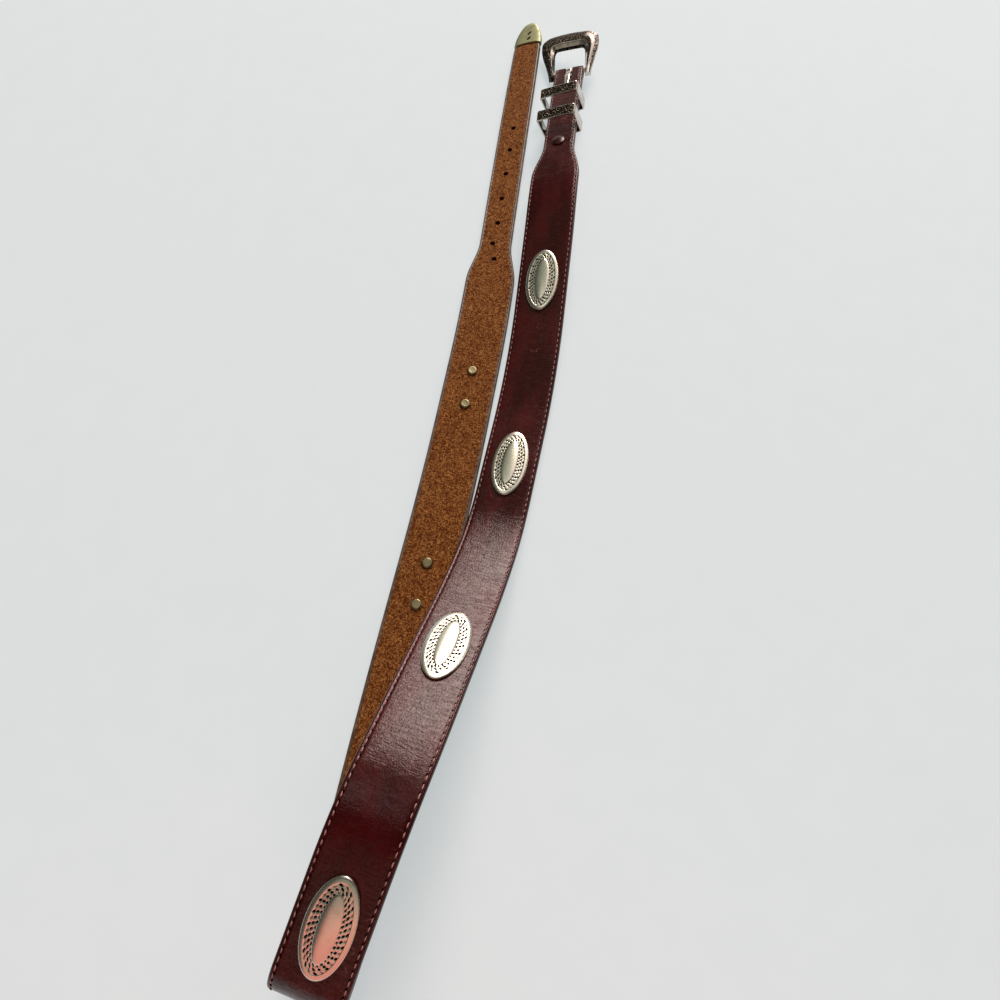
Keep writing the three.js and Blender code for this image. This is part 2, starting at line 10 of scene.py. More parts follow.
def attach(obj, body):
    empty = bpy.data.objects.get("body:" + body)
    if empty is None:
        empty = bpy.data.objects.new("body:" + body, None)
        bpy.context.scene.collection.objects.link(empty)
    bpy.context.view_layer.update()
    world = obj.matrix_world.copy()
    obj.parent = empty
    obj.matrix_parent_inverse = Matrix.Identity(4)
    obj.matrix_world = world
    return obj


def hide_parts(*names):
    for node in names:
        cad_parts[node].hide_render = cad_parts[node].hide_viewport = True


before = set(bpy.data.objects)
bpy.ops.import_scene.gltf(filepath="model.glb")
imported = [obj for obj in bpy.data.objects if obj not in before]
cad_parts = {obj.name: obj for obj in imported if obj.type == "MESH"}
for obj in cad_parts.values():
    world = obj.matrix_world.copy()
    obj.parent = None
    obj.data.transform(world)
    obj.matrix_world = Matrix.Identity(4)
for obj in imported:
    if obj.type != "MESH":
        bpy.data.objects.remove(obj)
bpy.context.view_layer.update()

scene = bpy.context.scene
scene.view_settings.view_transform = "Standard"
print("frame loaded")

mm = 0.001  # sizes are in millimetres, and the scene is in metres
fullTurn = 2 * math.pi


# Nodes

def hexColour(text):
    channels = [int(text[i:i + 2], 16) / 255 for i in (0, 2, 4)]
    return [c / 12.92 if c <= 0.04045 else ((c + 0.055) / 1.055) ** 2.4 for c in channels] + [1.0]


def setInputs(node, inputs):
    # A socket is linked to the input, and a plain value is set on it
    for label, value in inputs.items():
        if isinstance(value, bpy.types.NodeSocket):
            node.id_data.links.new(value, node.inputs[label])
        else:
            node.inputs[label].default_value = value


def addNode(tree, kind, inputs=None, **settings):
    node = tree.nodes.new(kind)
    for label, value in settings.items():
        setattr(node, label, value)
    setInputs(node, inputs or {})
    return node


def firstOutput(tree, kind, inputs=None, **settings):
    return addNode(tree, kind, inputs, **settings).outputs[0]


def makeMaterial(name, look, *values):
    # The look gives the shader's inputs
    material = bpy.data.materials.new(name)
    material.use_nodes = True
    tree = material.node_tree
    setInputs(tree.nodes["Principled BSDF"], look(tree, *values))
    return material


# The next helpers add their node to the tree of the socket that they are given first

def blendColours(factor, *pair):
    # The pair is given as hex text or as sockets
    first, second = (hexColour(colour) if isinstance(colour, str) else colour for colour in pair)
    inputs = {0: factor, 6: first, 7: second}
    return addNode(factor.id_data, "ShaderNodeMix", inputs, data_type="RGBA").outputs[2]


def ramp(value, low, high, fromValue=0.0, toValue=1.0):
    return firstOutput(value.id_data, "ShaderNodeMapRange", {
        "Value": value, "From Min": low, "From Max": high, "To Min": fromValue, "To Max": toValue,
    }, interpolation_type="SMOOTHSTEP")


def calculate(operation, first, second=0.0):
    return firstOutput(first.id_data, "ShaderNodeMath", {0: first, 1: second}, operation=operation)


def times(first, second):
    return calculate("MULTIPLY", first, second)


def plus(first, second):
    return calculate("ADD", first, second)


def nearLevel(value, level, width, atLevel=1.0, away=0.0):
    # Thin lines where a noise crosses a level
    return ramp(calculate("ABSOLUTE", calculate("SUBTRACT", value, level)), 0.0, width, atLevel, away)


def noiseOn(vector, detail, scale=1.0, **more):
    inputs = {"Vector": vector, "Scale": scale, "Detail": detail, **more}
    return firstOutput(vector.id_data, "ShaderNodeTexNoise", inputs)


def bumpOn(height, strength, depth, **more):
    inputs = {"Height": height, "Strength": strength, "Distance": depth * mm, **more}
    return firstOutput(height.id_data, "ShaderNodeBump", inputs)


def objectPlace(tree):
    return addNode(tree, "ShaderNodeTexCoord").outputs["Object"]


def stretchedUv(tree, along, across, seed=0.0):
    # UV holds metres along and across the piece; the scale gives features per metre
    uv = addNode(tree, "ShaderNodeUVMap", uv_map="UVMap").outputs["UV"]
    return addNode(tree, "ShaderNodeMapping", {
        "Vector": uv, "Location": (seed, seed * 0.7, 0.0), "Scale": (along, across, 1.0),
    }).outputs["Vector"]


# Meshes

def newMesh(name, points, edges, faces, *materials):
    mesh = bpy.data.meshes.new(name)
    mesh.from_pydata((np.asarray(points, float) * mm).tolist(), edges, faces)
    for material in materials:
        mesh.materials.append(material)
    return mesh


def addObject(name, data):
    added = bpy.data.objects.new(name, data)
    scene.collection.objects.link(added)
    return added


def smoothMesh(mesh, sharpFrom):
    mesh.shade_smooth()
    mesh.set_sharp_from_angle(angle=math.radians(sharpFrom))


def faceOutward(mesh):
    shape = bmesh.new()
    shape.from_mesh(mesh)
    bmesh.ops.remove_doubles(shape, verts=shape.verts, dist=1e-7)
    bmesh.ops.recalc_face_normals(shape, faces=shape.faces)
    shape.to_mesh(mesh)
    shape.free()


def skin(name, grid, uv, materials, closedAround=True, closedAlong=False, slotOf=None, outward=False):
    # A mesh over a grid of points: rows run along the piece, columns around it
    rows, columns = grid.shape[:2]
    faces, loopUv, slots = [], [], []
    corners = ((0, 0), (0, 1), (1, 1), (1, 0))
    for row in range(rows if closedAlong else rows - 1):
        for column in range(columns if closedAround else columns - 1):
            faces.append([(row + i) % rows * columns + (column + j) % columns for i, j in corners])
            loopUv.extend(uv[row + i, column + j] for i, j in corners)
            slots.append(slotOf(row, column) if slotOf else 0)
    if closedAround and not closedAlong:
        for row, order in ((0, range(columns - 1, -1, -1)), (rows - 1, range(columns))):
            faces.append([row * columns + column for column in order])
            loopUv.extend(uv[row, column] for column in order)
            slots.append(slotOf(min(row, rows - 2), 0) if slotOf else 0)
    mesh = newMesh(name, grid.reshape(-1, 3), [], faces, *materials)
    layer = mesh.uv_layers.new(name="UVMap")
    layer.data.foreach_set("uv", (np.array(loopUv, float) * mm).ravel())
    mesh.polygons.foreach_set("material_index", slots)
    mesh.validate()
    smoothMesh(mesh, sharpFrom=50)
    if outward:
        faceOutward(mesh)
    return addObject(name, mesh)


def uvGrid(rowAt, columnAt):
    # Distances along the rows, and across them for every row alike or for each one
    return np.stack(np.broadcast_arrays(np.asarray(rowAt)[:, None], columnAt), -1)


def distancesAround(points, closed):
    line = np.vstack([points, points[:1]]) if closed else points
    steps = np.linalg.norm(np.diff(line, axis=0), axis=1)
    return np.concatenate([[0.0], np.cumsum(steps)])


def blendAt(at, low, high, first, second):
    share = (at - low) / (high - low)
    return first * (1 - share) + second * share


def curveThrough(points, count):
    # Centripetal spline through the points, with even steps of its parameter
    points = np.array(points, float)
    padded = np.vstack([2 * points[0] - points[1], points, 2 * points[-1] - points[-2]])
    curve = []
    for value in np.linspace(0, len(points) - 1, count):
        first = min(int(value), len(points) - 2)
        layer = padded[first:first + 4]
        steps = [max(np.linalg.norm(b - a) ** 0.5, 1e-6) for a, b in zip(layer, layer[1:])]
        knots = np.concatenate([[0.0], np.cumsum(steps)])
        at = knots[1] + (knots[2] - knots[1]) * (value - first)
        thirds = [blendAt(at, knots[k], knots[k + 1], layer[k], layer[k + 1]) for k in range(3)]
        halves = [blendAt(at, knots[k], knots[k + 2], thirds[k], thirds[k + 1]) for k in range(2)]
        curve.append(blendAt(at, knots[1], knots[2], *halves))
    return np.array(curve)


def roundedRing(halfWide, halfThick, wideBend, thickBend, sides):
    # A rounded oblong; a smaller bend gives squarer corners
    ring = []
    for angle in np.linspace(0, fullTurn, sides, endpoint=False):
        c, s = math.cos(angle), math.sin(angle)
        ring.append((halfWide * math.copysign(abs(c) ** wideBend, c),
                     halfThick * math.copysign(abs(s) ** thickBend, s)))
    return ring


def evaluatedMesh(holder):
    bpy.context.view_layer.update()
    evaluated = holder.evaluated_get(bpy.context.evaluated_depsgraph_get())
    return bpy.data.meshes.new_from_object(evaluated)


def cutWith(piece, cutter):
    modifier = piece.modifiers.new("cut", "BOOLEAN")
    modifier.operation = "DIFFERENCE"
    modifier.solver = "EXACT"
    modifier.object = cutter
    modifier.material_mode = "TRANSFER"
    mesh = evaluatedMesh(piece)
    piece.modifiers.remove(modifier)
    old = piece.data
    piece.data = mesh
    bpy.data.meshes.remove(old)
    bpy.data.objects.remove(cutter)


def settle(piece, body, slotName, *nodes):
    if nodes:
        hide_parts(*nodes)
    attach(piece, body)


# Leather, suede and thread

leatherLook = {
    "colour": "47080a", "worn": "521012", "deep": "310506", "scratch": "8a5a50",
    "grainMm": 0.8, "creaseMm": 9.0, "roughness": 0.19, "poreShine": (0.1, 0.26), "streakShine": 0.16,
}


def waxedCowhide(tree):
    # Drum-dyed oxblood cowhide, waxed: a smooth grain with pull-up marks that catch the light
    grainRate, creaseRate = 1000 / leatherLook["grainMm"], 1000 / leatherLook["creaseMm"]
    grain = addNode(tree, "ShaderNodeTexVoronoi", {
        "Vector": stretchedUv(tree, grainRate, grainRate), "Scale": 1.0, "Randomness": 1.0,
    }, feature="SMOOTH_F1").outputs["Distance"]
    cloud = noiseOn(stretchedUv(tree, 22, 60, 3.1), 4.0, Roughness=0.6)
    crease = noiseOn(stretchedUv(tree, creaseRate, creaseRate * 0.25, 7.7), 5.0,
                     Roughness=0.65, Distortion=0.6)
    creaseLine = nearLevel(crease, 0.5, 0.035, 0.0, 1.0)
    # fine scratches, in a few patches only
    warped = noiseOn(stretchedUv(tree, 75, 28, 1.3), 1.5, Distortion=1.2)
    scratch = nearLevel(warped, 0.52, 0.008)
    patch = ramp(noiseOn(stretchedUv(tree, 34, 50, 9.4), 2.0), 0.54, 0.66)
    scratched = times(times(scratch, patch), 0.5)
    base = blendColours(ramp(cloud, 0.35, 0.68), leatherLook["deep"], leatherLook["colour"])
    base = blendColours(ramp(cloud, 0.6, 0.85, 0.0, 0.55), base, leatherLook["worn"])
    base = blendColours(scratched, base, leatherLook["scratch"])
    rough = plus(ramp(cloud, 0.3, 0.75, 0.0, 0.06), leatherLook["roughness"])
    pores = noiseOn(stretchedUv(tree, 620, 900, 5.2), 3.0, Roughness=0.7)
    streaks = noiseOn(stretchedUv(tree, 850, 150, 6.6), 3.0, Roughness=0.7)
    wax = plus(ramp(pores, 0.35, 0.65, *leatherLook["poreShine"]),
               ramp(streaks, 0.35, 0.65, 0.0, leatherLook["streakShine"]))
    folds = bumpOn(creaseLine, 0.12, 0.2, Normal=bumpOn(grain, 0.22, 0.2))
    return {"Base Color": base, "Roughness": rough, "Specular IOR Level": wax,
            "Normal": bumpOn(cloud, 0.3, 0.5, Normal=folds)}


def edgeFinish(tree, dark, light):
    # Painted or burnished edge of a ply: slightly uneven and satin
    wander = noiseOn(stretchedUv(tree, 120, 300, 2.0), 3.0)
    return {"Base Color": blendColours(ramp(wander, 0.3, 0.7), dark, light), "Roughness": 0.42,
            "Normal": bumpOn(wander, 0.4, 0.3)}


suedeLook = {
    "light": "d49b5a", "mid": "834b1a", "dark": "3a1703", "sheen": "c98a55", "napMm": 1.25, "curlMm": 2.3,
}


def roughOutSplit(tree):
    # Rough-out split leather, left raw: short fibres, brushed patches and no gloss
    napRate, curlRate = 1000 / suedeLook["napMm"], 1000 / suedeLook["curlMm"]
    nap = noiseOn(stretchedUv(tree, napRate, napRate), 6.0, Roughness=0.75)
    patch = noiseOn(stretchedUv(tree, 60, 90, 4.4), 3.0, Roughness=0.6)
    # curled tufts: level lines of a warped noise, light where the nap stands up, with painted shade along
    # the hollows between
    fibre = noiseOn(stretchedUv(tree, curlRate, curlRate, 8.1), 2.0, Distortion=1.4)
    tuft = nearLevel(fibre, 0.54, 0.05)
    hollowShade = nearLevel(fibre, 0.42, 0.05)
    base = blendColours(ramp(nap, 0.36, 0.62), suedeLook["dark"], suedeLook["mid"])
    base = blendColours(ramp(patch, 0.45, 0.8, 0.0, 0.3), base, suedeLook["dark"])
    # painted shade in the nap's hollows
    base = blendColours(times(hollowShade, 0.65), base, suedeLook["dark"])
    base = blendColours(times(tuft, 0.7), base, suedeLook["light"])
    return {"Base Color": base, "Roughness": 0.95, "Specular IOR Level": 0.2, "Sheen Weight": 0.15,
            "Sheen Roughness": 0.6, "Sheen Tint": hexColour(suedeLook["sheen"]),
            "Normal": bumpOn(fibre, 0.6, 0.4, Normal=bumpOn(nap, 0.9, 0.6))}


def mottled(tree, pair, scale, detail, levels, roughness, shine):
    # A plain surface whose tone wanders between two colours
    tone = noiseOn(objectPlace(tree), detail, scale)
    if levels:
        tone = ramp(tone, *levels)
    return {"Base Color": blendColours(tone, *pair), "Roughness": roughness, "Specular IOR Level": shine}


# Metals

def nickelPlate(tree, colour, dark, roughness, tarnish):
    # Nickel plate, polished and then antiqued: bright where rubbed, darker where it was not
    place = objectPlace(tree)
    cloud = noiseOn(place, 5.0, 160.0, Roughness=0.7)
    return {"Base Color": blendColours(ramp(cloud, 0.42, 0.72, 0.0, tarnish), colour, dark), "Metallic": 1.0,
            "Roughness": plus(ramp(cloud, 0.35, 0.75, 0.0, 0.16), roughness),
            "Normal": bumpOn(noiseOn(place, 2.0, 900.0), 0.08, 0.1)}


def reliefNickel(tree, colour, rubbed, dark, roughness):
    # Die-struck nickel silver with black patina left in the recesses of the relief
    patina = addNode(tree, "ShaderNodeAttribute", attribute_name="patina").outputs["Fac"]
    cloud = noiseOn(objectPlace(tree), 5.0, 180.0, Roughness=0.7)
    worn = blendColours(ramp(cloud, 0.45, 0.75, 0.0, 0.35), colour, rubbed)
    uneven = plus(patina, ramp(cloud, 0.3, 0.7, -0.12, 0.12))
    depth = ramp(uneven, 0.25, 0.75)
    return {"Base Color": blendColours(depth, worn, dark), "Metallic": 1.0,
            "Roughness": plus(times(depth, 0.35), roughness)}


engravingLook = {"cellMm": 5.0, "turns": 2.0, "waves": 15.0, "fill": "14110c"}


def engravedNickel(tree, cutFrom, cutTo, top):
    # Engraved and antiqued nickel: scroll cuts filled with black patina, tops rubbed grey
    cellRate = 1000 / engravingLook["cellMm"]
    place = stretchedUv(tree, cellRate, cellRate, 5.0)
    cells = addNode(tree, "ShaderNodeTexVoronoi", {
        "Vector": place, "Scale": 1.0, "Randomness": 0.8}, voronoi_dimensions="2D")
    offset = firstOutput(tree, "ShaderNodeVectorMath", {0: place, 1: cells.outputs["Position"]},
                         operation="SUBTRACT")
    parts = addNode(tree, "ShaderNodeSeparateXYZ", {0: offset})
    angle = calculate("ARCTAN2", parts.outputs[1], parts.outputs[0])
    rings = times(cells.outputs["Distance"], engravingLook["waves"])
    turn = plus(rings, times(angle, engravingLook["turns"]))
    scroll = ramp(calculate("SINE", turn), cutFrom, cutTo)
    punched = addNode(tree, "ShaderNodeTexVoronoi", {"Vector": stretchedUv(tree, 1400, 1400), "Scale": 1.0})
    stipple = times(ramp(punched.outputs["Distance"], 0.25, 0.5), 0.45)
    raised = times(scroll, plus(stipple, 0.55))
    cloud = noiseOn(stretchedUv(tree, 220, 220, 2.2), 4.0, Roughness=0.7)
    high = times(raised, ramp(cloud, 0.3, 0.6, 0.35, 1.0))
    return {"Base Color": blendColours(high, engravingLook["fill"], top), "Metallic": 1.0,
            "Roughness": ramp(high, 0.0, 1.0, 0.6, 0.3), "Normal": bumpOn(raised, 0.9, 0.4)}


cowhide = makeMaterial("waxedOxbloodCowhide", waxedCowhide)
edgePaint = makeMaterial("brownEdgePaint", edgeFinish, "120a0a", "2a1c1b")
burnishedEdge = makeMaterial("burnishedSplitEdge", edgeFinish, "4d3a27", "78634c")
splitLeather = makeMaterial("roughOutSplitLeather", roughOutSplit)
# mottled surfaces: scale, detail, levels, roughness and shine
# bare cut leather inside a small opening, where little light reaches
recess = (1500.0, 3.0, None, 0.9, 0.05)
cutCore = makeMaterial("cutLeatherCore", mottled, ("3c100a", "5c2015"), *recess)
# near-black beads that stand in for the shade inside the needle holes: painted shadow
holeShade = makeMaterial("needleHoleShadow", mottled, ("0c0403", "1c0907"), *recess)
# bonded polyester thread, three plies twisted: a soft sheen on a rounded cord
thread = (1800.0, 1.0, (0.35, 0.65), 0.6, 0.5)
paleThread = makeMaterial("paleRoseThread", mottled, ("966c66", "c7a29c"), *thread)
brownThread = makeMaterial("darkBrownThread", mottled, ("422410", "633a1a"), *thread)
conchoSilver = makeMaterial("struckNickelSilver", reliefNickel, "d6d6c8", "b0a893", "0c0a06", 0.27)
polished = makeMaterial("polishedNickelPlate", nickelPlate, "d6cfc6", "8a8278", 0.16, 0.5)
engraved = makeMaterial("engravedAntiqueNickel", engravedNickel, 0.35, 0.95, "706a5a")
# the rubbed, paler engraving marks the buckle's lit side: painted light
engravedRubbedLit = makeMaterial("engravedRubbedLitNickel", engravedNickel, -0.7, 0.2, "c4bcb0")
tipPlate = makeMaterial("wornNickelPlate", nickelPlate, "9da47f", "747857", 0.48, 0.8)
rivetPlate = makeMaterial("dullBrassPlate", nickelPlate, "857e60", "4a452f", 0.3, 0.8)
# baked enamel on a pressed brass cap, in the leather's colour
enamel = (400.0, 4.0, (0.4, 0.7), 0.22, 0.35)
capEnamel = makeMaterial("oxbloodEnamel", mottled, ("3d0d0c", "250706"), *enamel)
print("materials made")


# The strap's path: the same spans as the frame's strap, walked from the tip to the buckle

strap = {
    "width": 38.0, "billet": 25.4, "face": 2.0, "seat": 0.3, "lining": 2.2,
    "tipBillet": 286.0, "tipShoulderToConcho": 108.0, "conchoSpacing": 148.0, "conchoFlat": 50.0,
    "buckleShoulderToConcho": 99.0, "buckleBillet": 147.0, "barRadius": 1.75,
    "wrapTurn": 185.0, "flapRise": 12.0, "flapSettle": 6.0, "flap": 96.0,
    "taper": 38.0, "tipTaperPast": 12.0, "buckleTaperBefore": 2.0,
    "start": (0.671, 285.97, 6.29), "heading": -0.614, "dip": 1.237, "roll": 19.996,
    "shift": (-9.05592, 95.076946, 0.036833),  # moves the footprint's middle to the origin
    # from the end, and the half width there
    "tipEnd": [(3.5, 1.6), (8, 4.7), (16, 8.6), (24, 10.7), (30.5, 11.2), (34, 12.3), (90, 12.7)],
    "flapEnd": [(22, 12.1), (6, 8.0), (0, 4.5)],
    "tipSkive": 0.5, "skiveFrom": 29.5, "skiveTo": 33.5, "fullEdgeFrom": 6.0,
}
flat = strap["conchoFlat"]
gap = strap["conchoSpacing"] - flat
barDrop = strap["face"] + strap["seat"] + strap["barRadius"]
wrapLength = barDrop * math.radians(strap["wrapTurn"])
shoulderPart = (strap["buckleShoulderToConcho"] - flat / 2) / 2
liningOuter = -(strap["face"] + strap["seat"] + strap["lining"])

spanRow = namedtuple("spanRow", "label length bend twist sway", defaults=(0, 0, 0))
spans = [spanRow(*row) for row in [
    ("tip billet", strap["tipBillet"], 1.05, 18, 1.2),
    ("tip shoulder", strap["tipShoulderToConcho"] - flat / 2, 0, 2, -2.9),
    ("concho 7", flat),
    ("concho 7 to 6", gap, 0, 0, -2.1),
    ("concho 6", flat),
    ("concho 6 to 5", gap, 0, 0, 1.0),
    ("concho 5", flat),
    ("fold, rising", gap / 3, 47.4, 4.27, -2),
    ("fold, end", gap / 3, 33.7, 4.27, -2),
    ("fold, over", gap / 3, 78.5, 4.26, -1.84),
    ("concho 4", flat),
    ("crest", gap / 2, 39.2, 2, -2.1),
    ("down from crest", gap / 2, 11.1, 2, -2.1),
    ("concho 3", flat),
    ("slope", gap / 2, -5.0, 2.3, -1.55),
    ("foot of slope", gap / 2, -25.3, 2.3, -1.55),
    ("concho 2", flat),
    ("low stretch", gap / 2, -6.4, 3.4, -1.71),
    ("rising stretch", gap / 2, -5.8, 3.4, -1.55),
    ("concho 1", flat),
    ("before shoulder", shoulderPart, 4.5, 0.75, -2.1),
    ("buckle shoulder", shoulderPart, 13.3, 0.75, -2.1),
    ("buckle billet", strap["buckleBillet"]),
    ("wrap", wrapLength, strap["wrapTurn"]),
    ("flap rise", strap["flapRise"]),
    ("flap settle", strap["flapSettle"], 180 - strap["wrapTurn"]),
    ("flap", strap["flap"]),
]]
strapPlace = namedtuple("strapPlace", "point along across out")


def turned(vector, axis, angle):
    return (vector * math.cos(angle) + np.cross(axis, vector) * math.sin(angle)
            + axis * np.dot(axis, vector) * (1 - math.cos(angle)))


def advance(here, span, distance):
    # Moves a place down a span of even curvature
    turn = (-math.radians(span.bend) * here.across - math.radians(span.sway) * here.out
            - math.radians(span.twist) * here.along) / span.length
    rate = float(np.linalg.norm(turn))
    if rate < 1e-9:
        return here._replace(point=here.point + here.along * distance)
    axis, angle = turn / rate, rate * distance
    level = axis * np.dot(axis, here.along)
    moved = (here.point + level * distance + (here.along - level) * (math.sin(angle) / rate)
             + np.cross(axis, here.along) * ((1 - math.cos(angle)) / rate))
    return strapPlace(moved, *(turned(vector, axis, angle) for vector in here[1:]))


def startPlace():
    heading, dip, roll = (math.radians(strap[key]) for key in ("heading", "dip", "roll"))
    across = np.array([math.cos(heading), math.sin(heading), 0.0])
    along = turned(np.array([math.sin(heading), -math.cos(heading), 0.0]), across, dip)
    out = turned(np.array([0.0, 0.0, -1.0]), across, dip)
    point = np.array(strap["start"]) + np.array(strap["shift"])
    return strapPlace(point, along, turned(across, along, roll), turned(out, along, roll))


def walkSpans():
    starts, here, walked = [], startPlace(), 0.0
    for span in spans:
        starts.append((walked, span, here))
        here = advance(here, span, span.length)
        walked += span.length
    return starts, walked


spanStarts, strapEnd = walkSpans()


def placeAt(distance):
    start, span, here = [entry for entry in spanStarts if entry[0] <= distance][-1]
    return advance(here, span, distance - start)


def startOf(label):
    return next(start for start, span, _ in spanStarts if span.label == label)


def beside(here, across, out):
    return here.point + here.across * across + here.out * out


def fromLocal(points, here):
    # Points given as across, along and out of a place
    points = np.asarray(points, float)
    return (here.point + points[..., 0:1] * here.across + points[..., 1:2] * here.along
            + points[..., 2:3] * here.out)


tipShoulder, barAt = startOf("tip shoulder"), startOf("wrap")
tipTaperEnd = tipShoulder + strap["tipTaperPast"]
buckleTaperStart = startOf("buckle billet") - strap["buckleTaperBefore"]
conchoCentres = {number: startOf(f"concho {number}") + flat / 2 for number in range(1, 8)}
flapTable = [(barAt + wrapLength + strap["flapRise"], strap["billet"] / 2)]
flapTable += [(strapEnd - fromEnd, half) for fromEnd, half in strap["flapEnd"]]


def smoothStep(value, low, high):
    share = min(max((value - low) / (high - low), 0.0), 1.0)
    return share * share * (3 - 2 * share)


def halfWidth(distance):
    if distance < strap["tipEnd"][-1][0]:
        return float(np.interp(distance, *zip(*strap["tipEnd"])))
    if distance > flapTable[0][0]:
        return float(np.interp(distance, *zip(*flapTable)))
    rising = smoothStep(distance, tipTaperEnd - strap["taper"], tipTaperEnd)
    falling = smoothStep(distance, buckleTaperStart, buckleTaperStart + strap["taper"])
    return strap["billet"] / 2 + (strap["width"] - strap["billet"]) / 2 * rising * (1 - falling)


def edgeScale(half):
    # Edge work shrinks where the strap runs out in a point
    return min(1.0, half / strap["fullEdgeFrom"])


billet = placeAt(barAt - 1e-6)


def onBillet(along, across, out):
    # A place on the buckle billet, counted from the bar toward the shoulder
    point = billet.point - billet.along * along + billet.across * across + billet.out * out
    return billet._replace(point=point)


barPlace = onBillet(0, 0, -barDrop)
print("strap path walked:", round(strapEnd, 1), "mm")


# The two plies of the strap

plyLook = {
    "step": 3.0, "wrapFrom": 2.0, "wrapStep": 0.8, "liningEnds": 3.0,
    "seamBelowFace": 0.12, "seamGap": 0.06,
    # inset from the edge and depth below the outer surface, from the middle to the joint
    "section": [(4.0, 0.0), (3.1, 0.03), (2.6, 0.13), (2.1, 0.18), (1.65, 0.11), (1.3, 0.02), (0.95, 0.08),
                (0.58, 0.25), (0.26, 0.55), (0.07, 1.0), (0.0, 1.45)],
    "middle": [0.0, 0.3, 0.55, 0.8],
    "innerEdge": [(0.04, 0.2), (0.3, 0.0)],  # inset from the edge, and height over the inner surface
    "faceEdgeRows": 4, "liningEdgeRows": 9,  # rows that the edge finish takes
}


def plyRings(toAt, outer, depth, facing):
    # facing is 1 for the face, whose outer surface looks out, and -1 for the lining
    wrapAt = barAt - plyLook["wrapFrom"]
    stations = np.unique(np.round(np.concatenate([
        np.arange(strap["tipEnd"][0][0], min(toAt, wrapAt), plyLook["step"]),
        np.arange(wrapAt, toAt, plyLook["wrapStep"]) if toAt > barAt else [], [toAt]]), 3))
    rows, acrossRows = [], []
    for at in stations:
        here, half = placeAt(at), halfWidth(at)
        scale = edgeScale(half)
        level = half - plyLook["section"][0][0] * scale
        edge = [(level * share, 0.0) for share in plyLook["middle"]]
        edge += [(half - inset * scale, drop) for inset, drop in plyLook["section"]]
        edge += [(half - inset, depth - rise) for inset, rise in plyLook["innerEdge"]]
        edge += [(half / 2, depth), (0.0, depth)]
        ring = edge + [(-across, drop) for across, drop in edge[-2:0:-1]]
        top = outer - facing * strap["tipSkive"] * (1 - smoothStep(at, strap["skiveFrom"], strap["skiveTo"]))
        rows.append([beside(here, facing * across, top - facing * drop) for across, drop in ring])
        acrossRows.append([across for across, _ in ring])
    return stations, np.array(rows), np.array(acrossRows)


def makePly(name, toAt, outer, depth, facing, edgeRows, materials):
    stations, grid, across = plyRings(toAt, outer, depth, facing)
    columns = grid.shape[1]
    uv = uvGrid(stations, np.hstack([across, across[:, :1]]))
    count = len(plyLook["middle"]) + len(plyLook["section"])

    def slotOf(row, column):
        # 0 outer surface, 1 edge finish, 2 inner surface
        fromMiddle = min(column, columns - 1 - column)
        if fromMiddle < count - edgeRows:
            return 0
        return 1 if fromMiddle <= count else 2
    return skin(name, grid, uv, materials, slotOf=slotOf)


def tube(name, centre, axis, radius, length, sides, material):
    mesh = bpy.data.meshes.new(name)
    shape = bmesh.new()
    bmesh.ops.create_cone(shape, cap_ends=True, segments=sides, radius1=radius * mm, radius2=radius * mm,
                          depth=length * mm)
    turn = Vector((0, 0, 1)).rotation_difference(Vector(axis)).to_matrix().to_4x4()
    bmesh.ops.transform(shape, matrix=Matrix.Translation(Vector(centre) * mm) @ turn, verts=shape.verts)
    shape.to_mesh(mesh)
    shape.free()
    mesh.materials.append(material)
    return addObject(name, mesh)


def block(name, here, size, material):
    corners = [(i * size[0] / 2, j * size[1] / 2, k * size[2] / 2)
               for i in (-1, 1) for j in (-1, 1) for k in (-1, 1)]
    faces = [(0, 1, 3, 2), (4, 6, 7, 5), (0, 4, 5, 1), (2, 3, 7, 6), (0, 2, 6, 4), (1, 5, 7, 3)]
    mesh = newMesh(name, fromLocal(corners, here), [], faces, material)
    faceOutward(mesh)
    return addObject(name, mesh)


holes = {
    "radius": 2.1, "depth": 12.0, "sides": 20,
    # from the shoulder, and across
    "places": [(151, 0), (126, 0), (99, -0.2), (72, -0.5), (46, -0.7), (25, -2.2), (9.7, 0.8)],
}
tongueSlot = {"width": 6.4, "reach": 12.0, "pastBar": 8.0, "depth": 20.0}


def pierce(ply):
    for fromShoulder, across in holes["places"]:
        here = placeAt(tipShoulder - fromShoulder)
        centre = beside(here, across, liningOuter / 2)
        size = (holes["radius"], holes["depth"], holes["sides"])
        cutWith(ply, tube("holeCutter", centre, here.out, *size, cutCore))
    middle = (tongueSlot["reach"] - tongueSlot["pastBar"]) / 2
    size = (tongueSlot["width"], tongueSlot["reach"] + tongueSlot["pastBar"], tongueSlot["depth"])
    cutWith(ply, block("slotCutter", onBillet(middle, 0, -barDrop), size, cutCore))


liningEnd = barAt - plyLook["liningEnds"]
seam = strap["face"] + plyLook["seamBelowFace"]
facePly = makePly("faceLeather", strapEnd, 0.0, seam, 1, plyLook["faceEdgeRows"],
                  [cowhide, edgePaint, splitLeather])
suedePly = makePly("suedeLining", liningEnd, liningOuter, -liningOuter - seam - plyLook["seamGap"], -1,
                   plyLook["liningEdgeRows"], [splitLeather, burnishedEdge, splitLeather])
pierce(facePly)
pierce(suedePly)
settle(facePly, "strap", "burgundy_leather", "face_leather")
settle(suedePly, "strap", "brown_suede", "suede_lining")
print("strap plies made")


# Stitching, laid along the edges by a node tree

